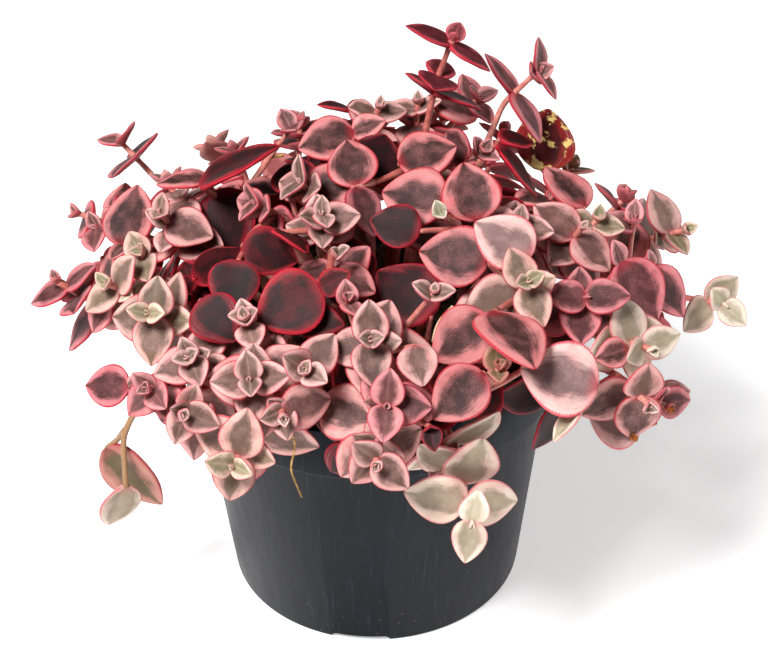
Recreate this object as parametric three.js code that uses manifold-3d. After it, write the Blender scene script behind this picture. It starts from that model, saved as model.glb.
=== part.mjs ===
// A trailing crassula marginalis in a 12 cm plastic nursery pot: the pot, the soil that fills it,
// and the plant as leafy stems that stand in holes in the soil. Millimetres, +Z up; the origin is
// the middle of the pot's underside, and -Y is the side that the list of shoots is read from.
import * as THREE from "three";
import { mergeVertices } from "three/addons/utils/BufferGeometryUtils.js";
import Module from "manifold-3d";

const wasm = await Module();
wasm.setup();

// Driving sizes of the pot.
const POT_HEIGHT = 94;
const COLLAR_RADIUS = 60;
const COLLAR_BOTTOM = 76;
const SHOULDER_RADIUS = 55.7;
const FOOT_RADIUS = 47.5;
const WALL = 1.4;
const FOOT_RING_WIDTH = 4;
const FLOOR_RAISE = 2.5;
const HUB_RADIUS = 16;
const FLOOR_THICKNESS = 1.5;
const FLOOR_BEVEL = 1.5;
const POT_SIDES = 36;
const DRAIN_HOLES = 8;
const DRAIN_RADIUS = 4;
const DRAIN_CIRCLE = 30;
const DRAIN_SIDES = 6;
const FOOT_NOTCHES = 4;
const NOTCH_HEIGHT = 1.8;
const NOTCH_WIDTH = 19;
const NOTCH_SLANT = 1.5;
const NOTCH_DEPTH = 10;
const NOTCH_AZIMUTH = 263.4;

// Driving sizes of the soil and the plant.
const SOIL_TOP = 84;
const SOIL_SHOULDER = [2.5, 2];
const TOUCH_GAP = 0.3;
const CUT_BEYOND = 1;
const STEM_RADIUS = 1.3;
const BRANCH_RADIUS = 1.05;
const ROOT_DEPTH = 7;
const ROOT_REACH = 50;
const ROOT_SPACING = 7.6;
const CANOPY_CENTRE = [3, 0, 100];
const CANOPY_REACH = [94, 92, 42];
const CLEARANCE = 0.38;
const POT_CLEARANCE = 1;
const PATH_CLEARANCE = 1;
const NEAR_PATH = 4;
const NEAR_LEAF = 1.5;
const ABOVE_HOLE = 3;
const MOST_STEMS = 56;
const FILL_SPACING = 18.5;
const SHADE_SPACING = 27;
const SHADE_DEPTH = 0.76;
const OLDER_LEAVES = [15.5, 18.5];
const JOINT_SPACING = 16;
const PATH_STEP = 2.5;
const CURVE_STEPS = 24;
const GOLDEN_ANGLE = Math.PI * (3 - Math.sqrt(5));
const SEED = 2711;

// One shoot: its kind of colour, where its tip stands, [azimuth, elevation, spin] of the way the
// tip faces in degrees, its leaf pairs from the tip down in lengths, and the lengths of stem
// between them where they are drawn out.
function shoot(tint, tip, faces, pairs, gaps = []) {
  return { tint, tip, faces, pairs, gaps };
}

// The stems that the front shows.
const STEMS = [
  shoot("lime", [-63, -43, 125], [262, 46, 0], [[7.5, 7.5], [12, 14], [16.5, 11]]),
  shoot("pink", [-51, -59, 121], [266, 50, 20], [[6, 6], [7.5, 10], [13, 7]]),
  shoot("rose", [-62, -65, 115], [243, 44, 60], [[4.5, 4.5], [7.5, 10], [11.5, 12]]),
  shoot("pink", [-52, -74, 113], [289, 27, 60], [[4, 4], [7, 11], [10.5, 9.5]]),
  shoot("lime", [-38, -85, 104], [268, 24, 345], [[7.5, 9], [14, 13], [16.5, 11]]),
  shoot("pink", [-33, -72, 123], [270, 50, 95], [[9, 7.5], [12, 11.5], [12.5, 11]]),
  shoot("pink", [-18, -72, 126], [270, 50, 50], [[4.5, 4.5], [10, 9], [9, 13]]),
  shoot("pink", [-24, -81, 117], [278, 22, 95], [[4, 4], [8, 15], [9.5, 7.5]]),
  shoot("pink", [0, -67, 132], [270, 45, 0], [[6, 6], [12, 12.5], [13, 9.5]]),
  shoot("rose", [4, -82, 121], [270, 47, 85], [[10.5, 11], [8, 12.5], [0, 13]]),
  shoot("pink", [1, -92, 109], [270, 23, 50], [[4, 4], [9.5, 12], [11, 14.5], [9.5, 9.5]]),
  shoot("cream", [27, -86, 83], [272, 33, 80], [[10.5, 12], [18, 15.5], [0, 17]]),
  shoot("pink", [-20, 1, 141], [201, 35, 115], [[9, 9], [11.5, 11.5]]),
  shoot("pink", [-14, -19, 142], [296, 57, 80], [[6.5, 8], [9, 12], [9.5, 10]]),
  shoot("rose", [-33, -7, 139], [207, 24, 110], [[8, 8], [10.5, 10.5]]),
  shoot("pink", [-63, 3, 130], [262, 60, 80], [[7, 7], [8, 15], [10.5, 15]]),
  shoot("lime", [44, -46, 136], [270, 45, 20], [[6.5, 6.5], [12, 13], [17.5, 11.5]]),
  shoot("pink", [17, 15, 142], [270, 47, 0], [[3.5, 3.5], [5.5, 5], [7, 10.5], [15.5, 8]]),
  shoot("pink", [3, 63, 132], [317, 63, 55], [[4.5, 4.5], [11.5, 10.5], [15.5, 14.5]]),
  shoot("pink", [16, 71, 129], [272, 75, 265], [[4.5, 4.5], [9.5, 11]]),
  shoot("lime", [-77, -23, 122], [232, 45, 150], [[5.5, 5.5], [12, 13], [8, 8]]),
  shoot("rose", [-92, 26, 116], [198, 34, 135], [[4.5, 4.5], [14, 11.5], [11.5, 15.5]]),
  shoot("rose", [-94, -11, 115], [195, 67, 175], [[4.5, 3.5], [12.5, 12]]),
  shoot("rose", [-80, 51, 127], [165, 57, 265], [[9, 10.5], [14.5, 14.5]], [6]),
  shoot("crimson", [26, 45, 165], [9, 64, 340], [[7, 4], [15, 15], [14, 12], [16, 11]], [1.5, 11, 5]),
  shoot("rose", [53, 48, 152], [346, 32, 60], [[11, 11], [9, 7], [18, 16]], [1.5, 9]),
  shoot("pink", [62, -15, 134], [286, 52, 35], [[3.5, 3.5], [15.5, 14.5], [12, 9]]),
  shoot("lime", [98, 17, 112], [305, 40, 355], [[5, 5], [15.5, 9.5], [9, 13]]),
  shoot("cream", [107, -8, 101], [285, 28, 125], [[9, 10], [13, 12]], [5]),
  shoot("cream", [79, -50, 115], [295, 18, 90], [[4, 4], [9.5, 12.5], [12.5, 14]]),
  shoot("pink", [78, -60, 103], [275, 6, 355], [[4.5, 4.5], [12.5, 14.5], [16.5, 9.5]]),
  shoot("old", [31, -21, 141], [270, 52, 100], [[18.5, 0]]),
  shoot("old", [-5, 34, 139], [272, 66, 195], [[18, 11]]),
  shoot("pink", [43, -20, 139], [283, 64, 70], [[6, 6], [11.5, 11.5], [12.5, 12.5]]),
  shoot("pink", [-35, -53, 130], [259, 65, 110], [[4.5, 4.5], [6.5, 6.5], [10.5, 8]]),
  shoot("rose", [61, -40, 126], [271, 55, 0], [[13, 12], [11, 13]]),
  shoot("cream", [-76, -38, 57], [305, -5, 245], [[16, 0]]),
];

// Shoots and single leaves that branch from the nearest stem.
const BRANCHES = [
  shoot("pale", [45, -35, 137], [275, 55, 150], [[18.5, 0]]),
  shoot("old", [33, -37, 137], [263, 49, 160], [[20.5, 0]]),
  shoot("old", [22, -11, 141], [262, 50, 170], [[20, 0]]),
  shoot("old", [32, -56, 131], [270, 45, 215], [[19.5, 0]]),
  shoot("old", [9, 9, 142], [272, 62, 15], [[18, 0]]),
  shoot("dark", [17, -54, 131], [250, 55, 150], [[23.5, 0]]),
  shoot("dark", [14, -22, 138], [262, 52, 170], [[15, 0]]),
  shoot("dark", [-48, -41, 128], [262, 48, 315], [[15.5, 0]]),
  shoot("rose", [-69, -56, 109], [232, 45, 200], [[14.5, 10]]),
  shoot("pink", [-14, -81, 119], [270, 45, 355], [[16.5, 9.5]]),
  shoot("pink", [12, -66, 129], [270, 47, 270], [[13, 0]]),
  shoot("scorched", [55, 42, 120], [285, 50, 70], [[21.5, 0]]),
  shoot("rose", [86, -46, 91], [302, 20, 75], [[3.5, 3.5], [7.5, 11], [8, 8]]),
  shoot("pale", [62, -67, 115], [279, 45, 160], [[22, 0]]),
  shoot("cream", [57, -70, 109], [180, 36, 295], [[11.5, 0]]),
  shoot("cream", [20, -23, 144], [271, 55, 115], [[5.5, 4.5]]),
  shoot("old", [36, 68, 126], [276, 78, 165], [[18, 9.5]]),
  shoot("crimson", [-7, 72, 127], [86, 77, 30], [[11.5, 7.5]]),
  shoot("old", [-17, -8, 142], [262, 58, 40], [[16.5, 0]]),
  shoot("crimson", [-14, -44, 133], [270, 50, 205], [[20.5, 10]]),
  shoot("crimson", [-37, -21, 133], [270, 50, 345], [[16.5, 0]]),
  shoot("dark", [-46, 8, 136], [240, 42, 290], [[22, 0]]),
  shoot("dark", [-38, -26, 131], [270, 50, 260], [[15.5, 0]]),
  shoot("crimson", [-27, -18, 136], [19, 54, 235], [[18.5, 0]]),
  shoot("dark", [-5, -39, 131], [270, 50, 90], [[19, 0]]),
  shoot("old", [30, -72, 124], [270, 50, 220], [[20, 0]]),
  shoot("old", [33, -54, 131], [45, 75, 165], [[24, 0]]),
  shoot("rose", [47, -69, 126], [357, 55, 65], [[20, 0]]),
  shoot("crimson", [40, 30, 136], [9, 44, 235], [[20, 0]]),
  shoot("crimson", [41, 37, 134], [359, 81, 260], [[20.5, 0]]),
  shoot("old", [64, 0, 132], [328, 65, 80], [[18.5, 10.5]]),
  shoot("old", [82, 5, 124], [276, 53, 250], [[17, 0]]),
  shoot("rose", [73, -22, 126], [297, 52, 285], [[20, 8]]),
  shoot("rose", [83, -19, 122], [321, 57, 270], [[17.5, 6.5]]),
  shoot("cream", [68, -4, 130], [283, 64, 75], [[5, 4.5], [9, 10]]),
  shoot("rose", [80, 5, 123], [237, 78, 105], [[7.5, 7], [10, 0]]),
  shoot("pink", [-9, -32, 136], [272, 75, 355], [[5.5, 4.5]]),
  shoot("rose", [-7, -50, 134], [299, 58, 350], [[4, 4], [7.5, 8]]),
  shoot("pink", [18, -47, 134], [271, 65, 80], [[3.5, 3.5], [8, 8]]),
  shoot("crimson", [-7, -64, 127], [334, 16, 240], [[14.5, 0]]),
  shoot("old", [-75, -1, 121], [237, 55, 95], [[20, 8]]),
  shoot("old", [-82, 29, 113], [224, 64, 120], [[13, 7]]),
  shoot("cream", [-67, -15, 128], [232, 45, 50], [[5, 5], [9.5, 10.5]]),
  shoot("rose", [-86, 23, 113], [225, 46, 135], [[6, 11], [9.5, 9.5]]),
  shoot("old", [-50, 17, 133], [84, 83, 0], [[16, 0]]),
  shoot("crimson", [-51, 11, 134], [164, 55, 125], [[27, 0]]),
  shoot("old", [-4, 0, 140], [259, 65, 110], [[17, 0]]),
  shoot("dark", [-1, 6, 138], [299, 58, 35], [[20, 0]]),
  shoot("dark", [-24, 4, 136], [219, 73, 130], [[16, 0]]),
  shoot("rose", [-5, -3, 141], [329, 44, 255], [[15.5, 0]]),
  shoot("rose", [35, 22, 139], [307, 49, 30], [[5, 4.5], [6.5, 7.5]]),
  shoot("rose", [30, 14, 141], [200, 15, 165], [[12.5, 0]]),
  shoot("rose", [36, 73, 129], [340, 65, 315], [[7.5, 7.5], [11.5, 11.5]]),
  shoot("dark", [-20, -50, 127], [271, 55, 350], [[13, 10]]),
  shoot("olive", [35, -68, 123], [271, 65, 0], [[4, 4], [9, 7.5]]),
  shoot("dark", [16, -83, 114], [270, 15, 280], [[7, 4.5]]),
  shoot("pink", [-30, -76, 119], [280, 18, 275], [[11.5, 9]]),
  shoot("rose", [-25, 50, 132], [203, 74, 180], [[7.5, 10]]),
  shoot("old", [72, -51, 116], [262, 30, 210], [[10, 9.5]]),
  shoot("pale", [77, -54, 89], [258, 32, 175], [[15.5, 0]]),
  shoot("pink", [85, -42, 92], [285, 35, 350], [[10, 0]]),
  shoot("rose", [-78, -24, 117], [227, 13, 260], [[11.5, 10.5]]),
  shoot("olive", [-83, -26, 63], [242, -1, 325], [[25, 0]]),
];

// Rules for the shoots that aren't listed: how many are tried over the canopy, the lengths of their
// leaves, and how their tips turn upward.
const CANOPY_SKIRT = 1.45;
const FILL_TINTS = ["pink", "rose", "old", "pink", "lime", "rose"];
const FILL_TRIES = 150;
const FILL_LOWEST = 84;
const FILL_FRONT = -20;
const FILL_SCATTER = 7;
const FILL_SINK = 0.6;
const FILL_LEAVES = [11, 17];
const FILL_PAIRS = [0.34, 0.62, 0.9, 1.1];
const FILL_RISE = 0.55;
const FILL_SWAY = 0.7;
const SHADE_TINTS = ["dark", "crimson", "old"];
const SHADE_TRIES = 90;
const SHADE_LOWEST = 92;
const SHADE_LEAVES = [18, 21];
const SHADE_PAIRS = [0.85, 1];
const SHADE_GAP = 5;
const SHADE_RISE = 0.35;

// Where stems root: the farther out a tip, the farther out its root, pushed apart in rounds.
const ROOT_CIRCLE = 45;
const FARTHEST_TIP = 125;
const ROOT_CURVE = 0.8;
const ROOT_ROUNDS = 80;

// How a stem rises, leans over the rim and straightens toward its tip.
const ROOT_RISES = [2, 14];
const REACH_OVER_RIM = 58;
const OVER_RIM_RADIUS = 52;
const OVER_RIM_RISE = 16;
const DROOP_FROM = 12;
const DROOP_SHARE = 0.25;
const LONGEST_RUN = 26;
const RUN_SHARE = 0.38;

// How it sways, [sideways, upward] in millimetres, until it is clear.
const SWAYS = [[0, 0]];
for (const reach of [5, 9, 13, 18, 24, 30]) {
  for (const turn of [0, 180, 30, 150, 90, -90, -30, -150]) {
    const angle = (turn * Math.PI) / 180;
    SWAYS.push([reach * Math.cos(angle), reach * Math.sin(angle)]);
  }
}

// How a branch leaves its stem.
const BRANCH_REACH = 48;
const BRANCH_UNDER = 9;
const BEND_COST = 9;
const SPARE_END = 6;
const MOST_STARTS = 60;
const LONGEST_HOLD = 8;
const HOLD_SHARE = 0.4;

// How a leaf stands: how far back from the tip the first pair is and how the next ones follow, the
// slant of its blade by its length, its shape by its age, and the room that it keeps to stems.
const FIRST_BACK = 0.3;
const INTERNODE = [0.5, 0.019];
const FACING_REACH = 16;
const PITCH = [12, 5.2];
const PITCH_RANGE = [25, 90];
const PITCH_SCATTER = 10;
const TURN_SCATTER = 8;
const GROWN_LENGTH = 14;
const GROWING_SPAN = 9;
const LEAF_THICKNESS = [1.15, 0.05];
const LEAF_WIDTH = [0.86, 1];
const YOUNG_NARROWING = 0.08;
const YOUNG_RISE = 0.1;
const GROWN_DROOP = [0.02, 0.12];
const LEAF_FOLD = [0.1, 0.18];
const YOUNG_FOLD = 0.3;
const STEM_ROOM = 0.3;
const BASE_ROOM = 5;
const LOWEST_PAIR = 3;

// How it shifts until it is clear: [scale, yaw, tilt], with the turns in degrees.
const leafShifts = (scales, yaws, tilts) =>
  scales.flatMap((scale) => yaws.flatMap((yaw) => tilts.map((tilt) => [scale, yaw, tilt])));
const WIDE_YAWS = [0, 10, -10, 20, -20, 32, -32];
const LEAF_SHIFTS = leafShifts([1, 0.9, 0.8, 0.7, 0.6], WIDE_YAWS, [0, -10, 10, -20, 18]);
const NEAR_SHIFTS = leafShifts([1, 0.92], [0, 10, -10], [0, -10, 10]);
const SMALLEST_LEAF = 3.2;
const MOST_PAIRS = 6;
const EDGE_ROOM = 0.9;

// A lone pair of the front stands as far in as it must, along the line that the front is read by.
const LONE_LENGTH = 9;
const FRONT_SLOPE = 35.4;
const DEPTHS = [0, 2.5, -2.5, 5, 8, 12, 17];

// Where a leaf is tested: along it from 0 to 1, and across it from -1 to 1. Near its base it may
// touch the pot's rim, and over its first half the other leaves of its own shoot.
const POT_PROBES_FROM = 0.3;
const KIN_PROBES_FROM = 0.5;
const KIN_SHARE = 0.25;
const PROBES = [
  [0.16, -0.9],
  [0.16, 0.9],
  [0.16, 0],
  [0.34, -1],
  [0.34, -0.5],
  [0.34, 0],
  [0.34, 0.5],
  [0.34, 1],
  [0.52, -1],
  [0.52, -0.5],
  [0.52, 0],
  [0.52, 0.5],
  [0.52, 1],
  [0.7, -1],
  [0.7, -0.4],
  [0.7, 0.4],
  [0.7, 1],
  [0.86, -0.9],
  [0.86, 0.9],
  [0.86, 0],
  [1, 0],
];

// The solids' facets.
const STEM_SIDES = 3;
const STEM_CORNER = 1.25;
const HOLE_RADIUS = 3.4;
const HOLE_SIDES = 4;
const LEAF_ROOT = 0.1;
const HIGHEST_EDGE = 0.45;
const LEAF_STATIONS = [0.4, 0.7];
const SHORT_LEAF = 11.5;
const SHORT_LEAF_STATIONS = [0.45];
const SMALLEST_SOLID = 8;
const SOLID_PAIRS = 4;

// Vectors are [x, y, z].
const add = (a, b) => [a[0] + b[0], a[1] + b[1], a[2] + b[2]];
const sub = (a, b) => [a[0] - b[0], a[1] - b[1], a[2] - b[2]];
const mul = (a, s) => [a[0] * s, a[1] * s, a[2] * s];
const dot = (a, b) => a[0] * b[0] + a[1] * b[1] + a[2] * b[2];
const cross = (a, b) => [
  a[1] * b[2] - a[2] * b[1],
  a[2] * b[0] - a[0] * b[2],
  a[0] * b[1] - a[1] * b[0],
];
const size = (a) => Math.sqrt(dot(a, a));
const unit = (a) => mul(a, 1 / size(a));
const mix = (a, b, t) => add(mul(a, 1 - t), mul(b, t));
const span = (a, b) => size(sub(a, b));
const radians = (degrees) => (degrees * Math.PI) / 180;
const limit = (value, low, high) => Math.max(low, Math.min(high, value));
const between = ([low, high], share) => low + (high - low) * share;
const UP = [0, 0, 1];

function turned(v, axis, angle) {
  const c = Math.cos(angle);
  const s = Math.sin(angle);
  const across = add(mul(v, c), mul(cross(axis, v), s));
  return add(across, mul(axis, dot(axis, v) * (1 - c)));
}

function heading(azimuth, elevation) {
  const a = radians(azimuth);
  const e = radians(elevation);
  return [Math.cos(e) * Math.cos(a), Math.cos(e) * Math.sin(a), Math.sin(e)];
}

// A level direction square to the given one.
function levelSide(aim) {
  const side = cross(UP, aim);
  return size(side) < 0.001 ? [1, 0, 0] : unit(side);
}

// Seeded random numbers from 0 to 1.
function randomFrom(seed) {
  let state = seed;
  return function draw() {
    state = (state + 0x6d2b79f5) | 0;
    let t = state;
    t = Math.imul(t ^ (t >>> 15), t | 1);
    t = t ^ (t + Math.imul(t ^ (t >>> 7), t | 61));
    return ((t ^ (t >>> 14)) >>> 0) / 4294967296;
  };
}
const draw = randomFrom(SEED);

// The canopy is half of a flat dome with a skirt below its widest line.
function canopyPoint(k, count) {
  const height = 1 - ((k + 0.5) / count) * CANOPY_SKIRT;
  const radius = Math.sqrt(Math.max(0, 1 - height * height));
  const azimuth = k * GOLDEN_ANGLE;
  return [
    CANOPY_CENTRE[0] + CANOPY_REACH[0] * radius * Math.cos(azimuth),
    CANOPY_CENTRE[1] + CANOPY_REACH[1] * radius * Math.sin(azimuth),
    CANOPY_CENTRE[2] + CANOPY_REACH[2] * height,
  ];
}

function canopyNormal(p) {
  return unit([
    (p[0] - CANOPY_CENTRE[0]) / CANOPY_REACH[0] ** 2,
    (p[1] - CANOPY_CENTRE[1]) / CANOPY_REACH[1] ** 2,
    (p[2] - CANOPY_CENTRE[2]) / CANOPY_REACH[2] ** 2,
  ]);
}

// Shoots: the listed ones, others by rule over the rest of the canopy, and shaded ones inside it.
function listedShoot(row, isStem) {
  const aim = heading(row.faces[0], row.faces[1]);
  const across = turned(levelSide(aim), aim, radians(row.faces[2]));
  const listed = row.pairs.length;
  const older = isStem && listed > 1 && row.gaps.length === 0 ? OLDER_LEAVES : [];
  const pairs = [...row.pairs, ...older.map((length) => [length, length])];
  const lone = !isStem && listed === 1 && Math.max(...row.pairs[0]) >= LONE_LENGTH;
  return { tip: row.tip, aim, across, pairs, gaps: row.gaps, tint: row.tint, isStem, listed, lone };
}

function fillShoots(shoots) {
  for (let k = 0; k < FILL_TRIES; k++) {
    const rim = canopyPoint(k, FILL_TRIES);
    const tip = add(rim, mul(canopyNormal(rim), (draw() - FILL_SINK) * FILL_SCATTER));
    const spin = draw() * Math.PI;
    const grown = between(FILL_LEAVES, draw());
    const tint = FILL_TINTS[Math.floor(draw() * FILL_TINTS.length)];
    const sway = [draw() - 0.5, draw() - 0.5, draw() - 0.5];
    if (tip[2] < FILL_LOWEST || tip[1] < FILL_FRONT) continue;
    if (shoots.some((other) => span(tip, other.tip) < FILL_SPACING)) continue;
    const rising = add(canopyNormal(tip), mul(UP, FILL_RISE));
    const aim = unit(add(rising, mul(sway, FILL_SWAY)));
    const pairs = FILL_PAIRS.map((share) => [share * grown, share * grown]);
    const across = turned(levelSide(aim), aim, spin);
    shoots.push({ tip, aim, across, pairs, gaps: [], tint, isStem: true, listed: 0 });
  }
}

function shadeShoots(shoots) {
  const placed = [];
  for (let k = 0; k < SHADE_TRIES; k++) {
    const rim = canopyPoint(k, SHADE_TRIES);
    const tip = add(CANOPY_CENTRE, mul(sub(rim, CANOPY_CENTRE), SHADE_DEPTH));
    const spin = draw() * Math.PI;
    const grown = between(SHADE_LEAVES, draw());
    const tint = SHADE_TINTS[Math.floor(draw() * SHADE_TINTS.length)];
    if (tip[2] < SHADE_LOWEST) continue;
    if (placed.some((other) => span(tip, other) < SHADE_SPACING)) continue;
    placed.push(tip);
    const aim = unit(add(canopyNormal(tip), mul(UP, SHADE_RISE)));
    const across = turned(levelSide(aim), aim, spin);
    const pairs = SHADE_PAIRS.map((share) => [share * grown, share * grown]);
    shoots.push({ tip, aim, across, pairs, gaps: [SHADE_GAP], tint, isStem: false, listed: 0 });
  }
}

// Past the number of stems, the rule's shoots that stand closest to another become branches.
function limitStems(shoots) {
  const stems = shoots.filter((shoot) => shoot.isStem);
  while (stems.length > MOST_STEMS) {
    let closest = Infinity;
    let chosen = -1;
    stems.forEach((shoot, i) => {
      if (shoot.listed) return;
      const others = stems.filter((other) => other !== shoot);
      const nearest = Math.min(...others.map((other) => span(shoot.tip, other.tip)));
      if (nearest < closest) {
        closest = nearest;
        chosen = i;
      }
    });
    stems[chosen].isStem = false;
    stems.splice(chosen, 1);
  }
  return stems;
}

// Roots keep the order of the tips: their plan is drawn in to the soil and pushed apart.
function placeRoots(stems) {
  const roots = stems.map(({ tip }) => {
    const reach = Math.sqrt(tip[0] * tip[0] + tip[1] * tip[1]) + 0.001;
    const radius = ROOT_CIRCLE * Math.min(1, (reach / FARTHEST_TIP) ** ROOT_CURVE);
    return [(tip[0] / reach) * radius, (tip[1] / reach) * radius];
  });
  for (let round = 0; round < ROOT_ROUNDS; round++) {
    for (let i = 0; i < roots.length; i++) {
      for (let j = 0; j < i; j++) {
        const dx = roots[i][0] - roots[j][0];
        const dy = roots[i][1] - roots[j][1];
        const apart = Math.sqrt(dx * dx + dy * dy) + 1e-6;
        if (apart >= ROOT_SPACING) continue;
        const push = ((ROOT_SPACING - apart) * 0.5) / apart;
        roots[i][0] += dx * push;
        roots[i][1] += dy * push;
        roots[j][0] -= dx * push;
        roots[j][1] -= dy * push;
      }
    }
    for (const root of roots) {
      const reach = Math.sqrt(root[0] * root[0] + root[1] * root[1]);
      if (reach <= ROOT_REACH) continue;
      root[0] *= ROOT_REACH / reach;
      root[1] *= ROOT_REACH / reach;
    }
  }
  return roots;
}

// A stem's joints stand on a Bezier curve through its control points.
function bezier(controls, t) {
  let points = controls;
  while (points.length > 1) {
    const next = [];
    for (let i = 0; i + 1 < points.length; i++) next.push(mix(points[i], points[i + 1], t));
    points = next;
  }
  return points[0];
}

function jointsOn(controls) {
  let rough = 0;
  for (let i = 0; i < CURVE_STEPS; i++) {
    rough += span(bezier(controls, i / CURVE_STEPS), bezier(controls, (i + 1) / CURVE_STEPS));
  }
  const count = Math.max(2, Math.ceil(rough / JOINT_SPACING));
  const joints = [];
  for (let i = 0; i <= count; i++) joints.push(bezier(controls, i / count));
  return joints;
}

// A path runs straight from joint to joint, with a point every few millimetres.
function makePath(joints, radius) {
  const points = [joints[0]];
  const marks = [0];
  for (let i = 0; i + 1 < joints.length; i++) {
    const length = span(joints[i], joints[i + 1]);
    const count = Math.ceil(length / PATH_STEP);
    for (let k = 1; k <= count; k++) {
      points.push(mix(joints[i], joints[i + 1], k / count));
      marks.push(marks[marks.length - 1] + length / count);
    }
  }
  const low = [0, 1, 2].map((k) => Math.min(...points.map((p) => p[k])));
  const high = [0, 1, 2].map((k) => Math.max(...points.map((p) => p[k])));
  const middle = mul(add(low, high), 0.5);
  const half = mul(sub(high, low), 0.5);
  return { joints, radius, points, marks, length: marks[marks.length - 1], middle, half };
}

function along(path, mark) {
  const { points, marks } = path;
  let i = 0;
  while (i < marks.length - 2 && marks[i + 1] < mark) i++;
  const t = (mark - marks[i]) / (marks[i + 1] - marks[i]);
  return { point: mix(points[i], points[i + 1], t), ahead: unit(sub(points[i + 1], points[i])) };
}

function clearOfPot(p, room) {
  const reach = Math.sqrt(p[0] * p[0] + p[1] * p[1]);
  const slope = (SHOULDER_RADIUS - FOOT_RADIUS) / COLLAR_BOTTOM;
  const outside = p[2] > COLLAR_BOTTOM ? COLLAR_RADIUS : FOOT_RADIUS + slope * Math.max(0, p[2]);
  if (p[2] > POT_HEIGHT + room) return true;
  if (reach > outside + room) return true;
  return reach < COLLAR_RADIUS - WALL - room && p[2] > SOIL_TOP + room;
}

// Whether a box about one middle comes within room of a box about another.
function boxesMeet(middle, half, otherMiddle, otherHalf, room) {
  return [0, 1, 2].every((k) => Math.abs(middle[k] - otherMiddle[k]) <= half[k] + otherHalf[k] + room);
}

function pathIsClear(path, rooted, plant) {
  for (let i = 0; i < path.points.length; i++) {
    if (rooted && path.marks[i] < ROOT_DEPTH + ABOVE_HOLE) continue;
    if (!clearOfPot(path.points[i], path.radius + POT_CLEARANCE)) return false;
  }
  for (const other of plant.paths) {
    if (other.node === path.node) continue;
    const room = path.radius + other.radius + PATH_CLEARANCE;
    if (!boxesMeet(path.middle, path.half, other.middle, other.half, room)) continue;
    for (const p of path.points) {
      for (const q of other.points) {
        const gap = sub(p, q);
        if (dot(gap, gap) < room * room) return false;
      }
    }
  }
  for (const leaf of plant.leaves) {
    const ball = [leaf.ball, leaf.ball, leaf.ball];
    if (!boxesMeet(path.middle, path.half, leaf.middle, ball, path.radius)) continue;
    const room = leaf.thickness * 0.5 + CLEARANCE;
    for (const p of path.points) if (leafTouches(leaf, p, path, room)) return false;
  }
  return true;
}

function keepPath(path, shoot, plant) {
  shoot.node = path.node;
  shoot.path = path;
  path.shoot = shoot;
  plant.paths.push(path);
}

// A stem rises from its hole, clears the pot's rim and comes to its tip the way the tip faces.
// It sways to the first side that is clear of the pot and of the stems before it, and isn't grown
// where it finds none.
function growStem(shoot, root, plant) {
  const { tip, aim } = shoot;
  const reach = Math.sqrt(tip[0] * tip[0] + tip[1] * tip[1]);
  const outward = unit([tip[0], tip[1], 0.001]);
  const run = Math.min(LONGEST_RUN, RUN_SHARE * span(tip, [root[0], root[1], SOIL_TOP]));
  for (const [sideways, upward] of SWAYS) {
    const sway = add(mul(cross(UP, outward), sideways), mul(UP, upward));
    const controls = [];
    for (const rise of ROOT_RISES) controls.push([root[0], root[1], SOIL_TOP + rise]);
    if (reach > REACH_OVER_RIM) {
      const droop = DROOP_SHARE * Math.max(0, POT_HEIGHT + DROOP_FROM - tip[2]);
      const height = POT_HEIGHT + OVER_RIM_RISE + droop;
      controls.push(add(add(mul(outward, OVER_RIM_RADIUS), mul(UP, height)), sway));
    }
    controls.push(add(sub(tip, mul(aim, run)), sway));
    controls.push(tip);
    const foot = [root[0], root[1], SOIL_TOP - ROOT_DEPTH];
    const path = makePath([foot, ...jointsOn(controls)], STEM_RADIUS);
    path.node = plant.roots.length;
    if (!pathIsClear(path, true, plant)) continue;
    keepPath(path, shoot, plant);
    plant.roots.push(root);
    return;
  }
}

// A branch leaves the stem that it can reach with the least length and bending.
function branchTo(tip, aim, plant) {
  const under = sub(tip, mul(aim, BRANCH_UNDER));
  const starts = [];
  for (const path of plant.paths) {
    for (let i = 1; i < path.points.length; i++) {
      const p = path.points[i];
      const inPot = p[2] < POT_HEIGHT - 2 && Math.sqrt(p[0] * p[0] + p[1] * p[1]) < COLLAR_RADIUS;
      if (inPot || path.length - path.marks[i] < SPARE_END) continue;
      const distance = span(p, under);
      if (distance > BRANCH_REACH) continue;
      const last = path.points.length - 1;
      const ahead = unit(sub(path.points[Math.min(i + 1, last)], path.points[i - 1]));
      const bending = 1 - dot(ahead, unit(sub(tip, p)));
      starts.push({ cost: distance + BEND_COST * bending, path, start: p, ahead });
    }
  }
  starts.sort((a, b) => a.cost - b.cost);
  for (const { path, start, ahead } of starts.slice(0, MOST_STARTS)) {
    const hold = Math.min(LONGEST_HOLD, HOLD_SHARE * span(start, tip));
    for (const lead of [ahead, unit(add(ahead, aim))]) {
      const controls = [start, add(start, mul(lead, hold)), sub(tip, mul(aim, hold)), tip];
      const branch = makePath(jointsOn(controls), BRANCH_RADIUS);
      branch.node = path.node;
      if (pathIsClear(branch, false, plant)) return branch;
    }
  }
  return null;
}

function growBranch(shoot, plant) {
  const branch = branchTo(shoot.tip, shoot.aim, plant);
  if (branch) keepPath(branch, shoot, plant);
}

// A leaf's half width along its length, as a share of the widest: broad and drawn to a point.
const BASE_POWER = 0.55;
const TIP_POWER = 0.85;
const WIDEST = BASE_POWER / (BASE_POWER + TIP_POWER);
const OUTLINE_PEAK = WIDEST ** BASE_POWER * (1 - WIDEST) ** TIP_POWER;
const OUTLINE_ENDS = [0.04, 0.97];
function outline(t) {
  return t <= 0 || t >= 1 ? 0 : (t ** BASE_POWER * (1 - t) ** TIP_POWER) / OUTLINE_PEAK;
}

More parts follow.
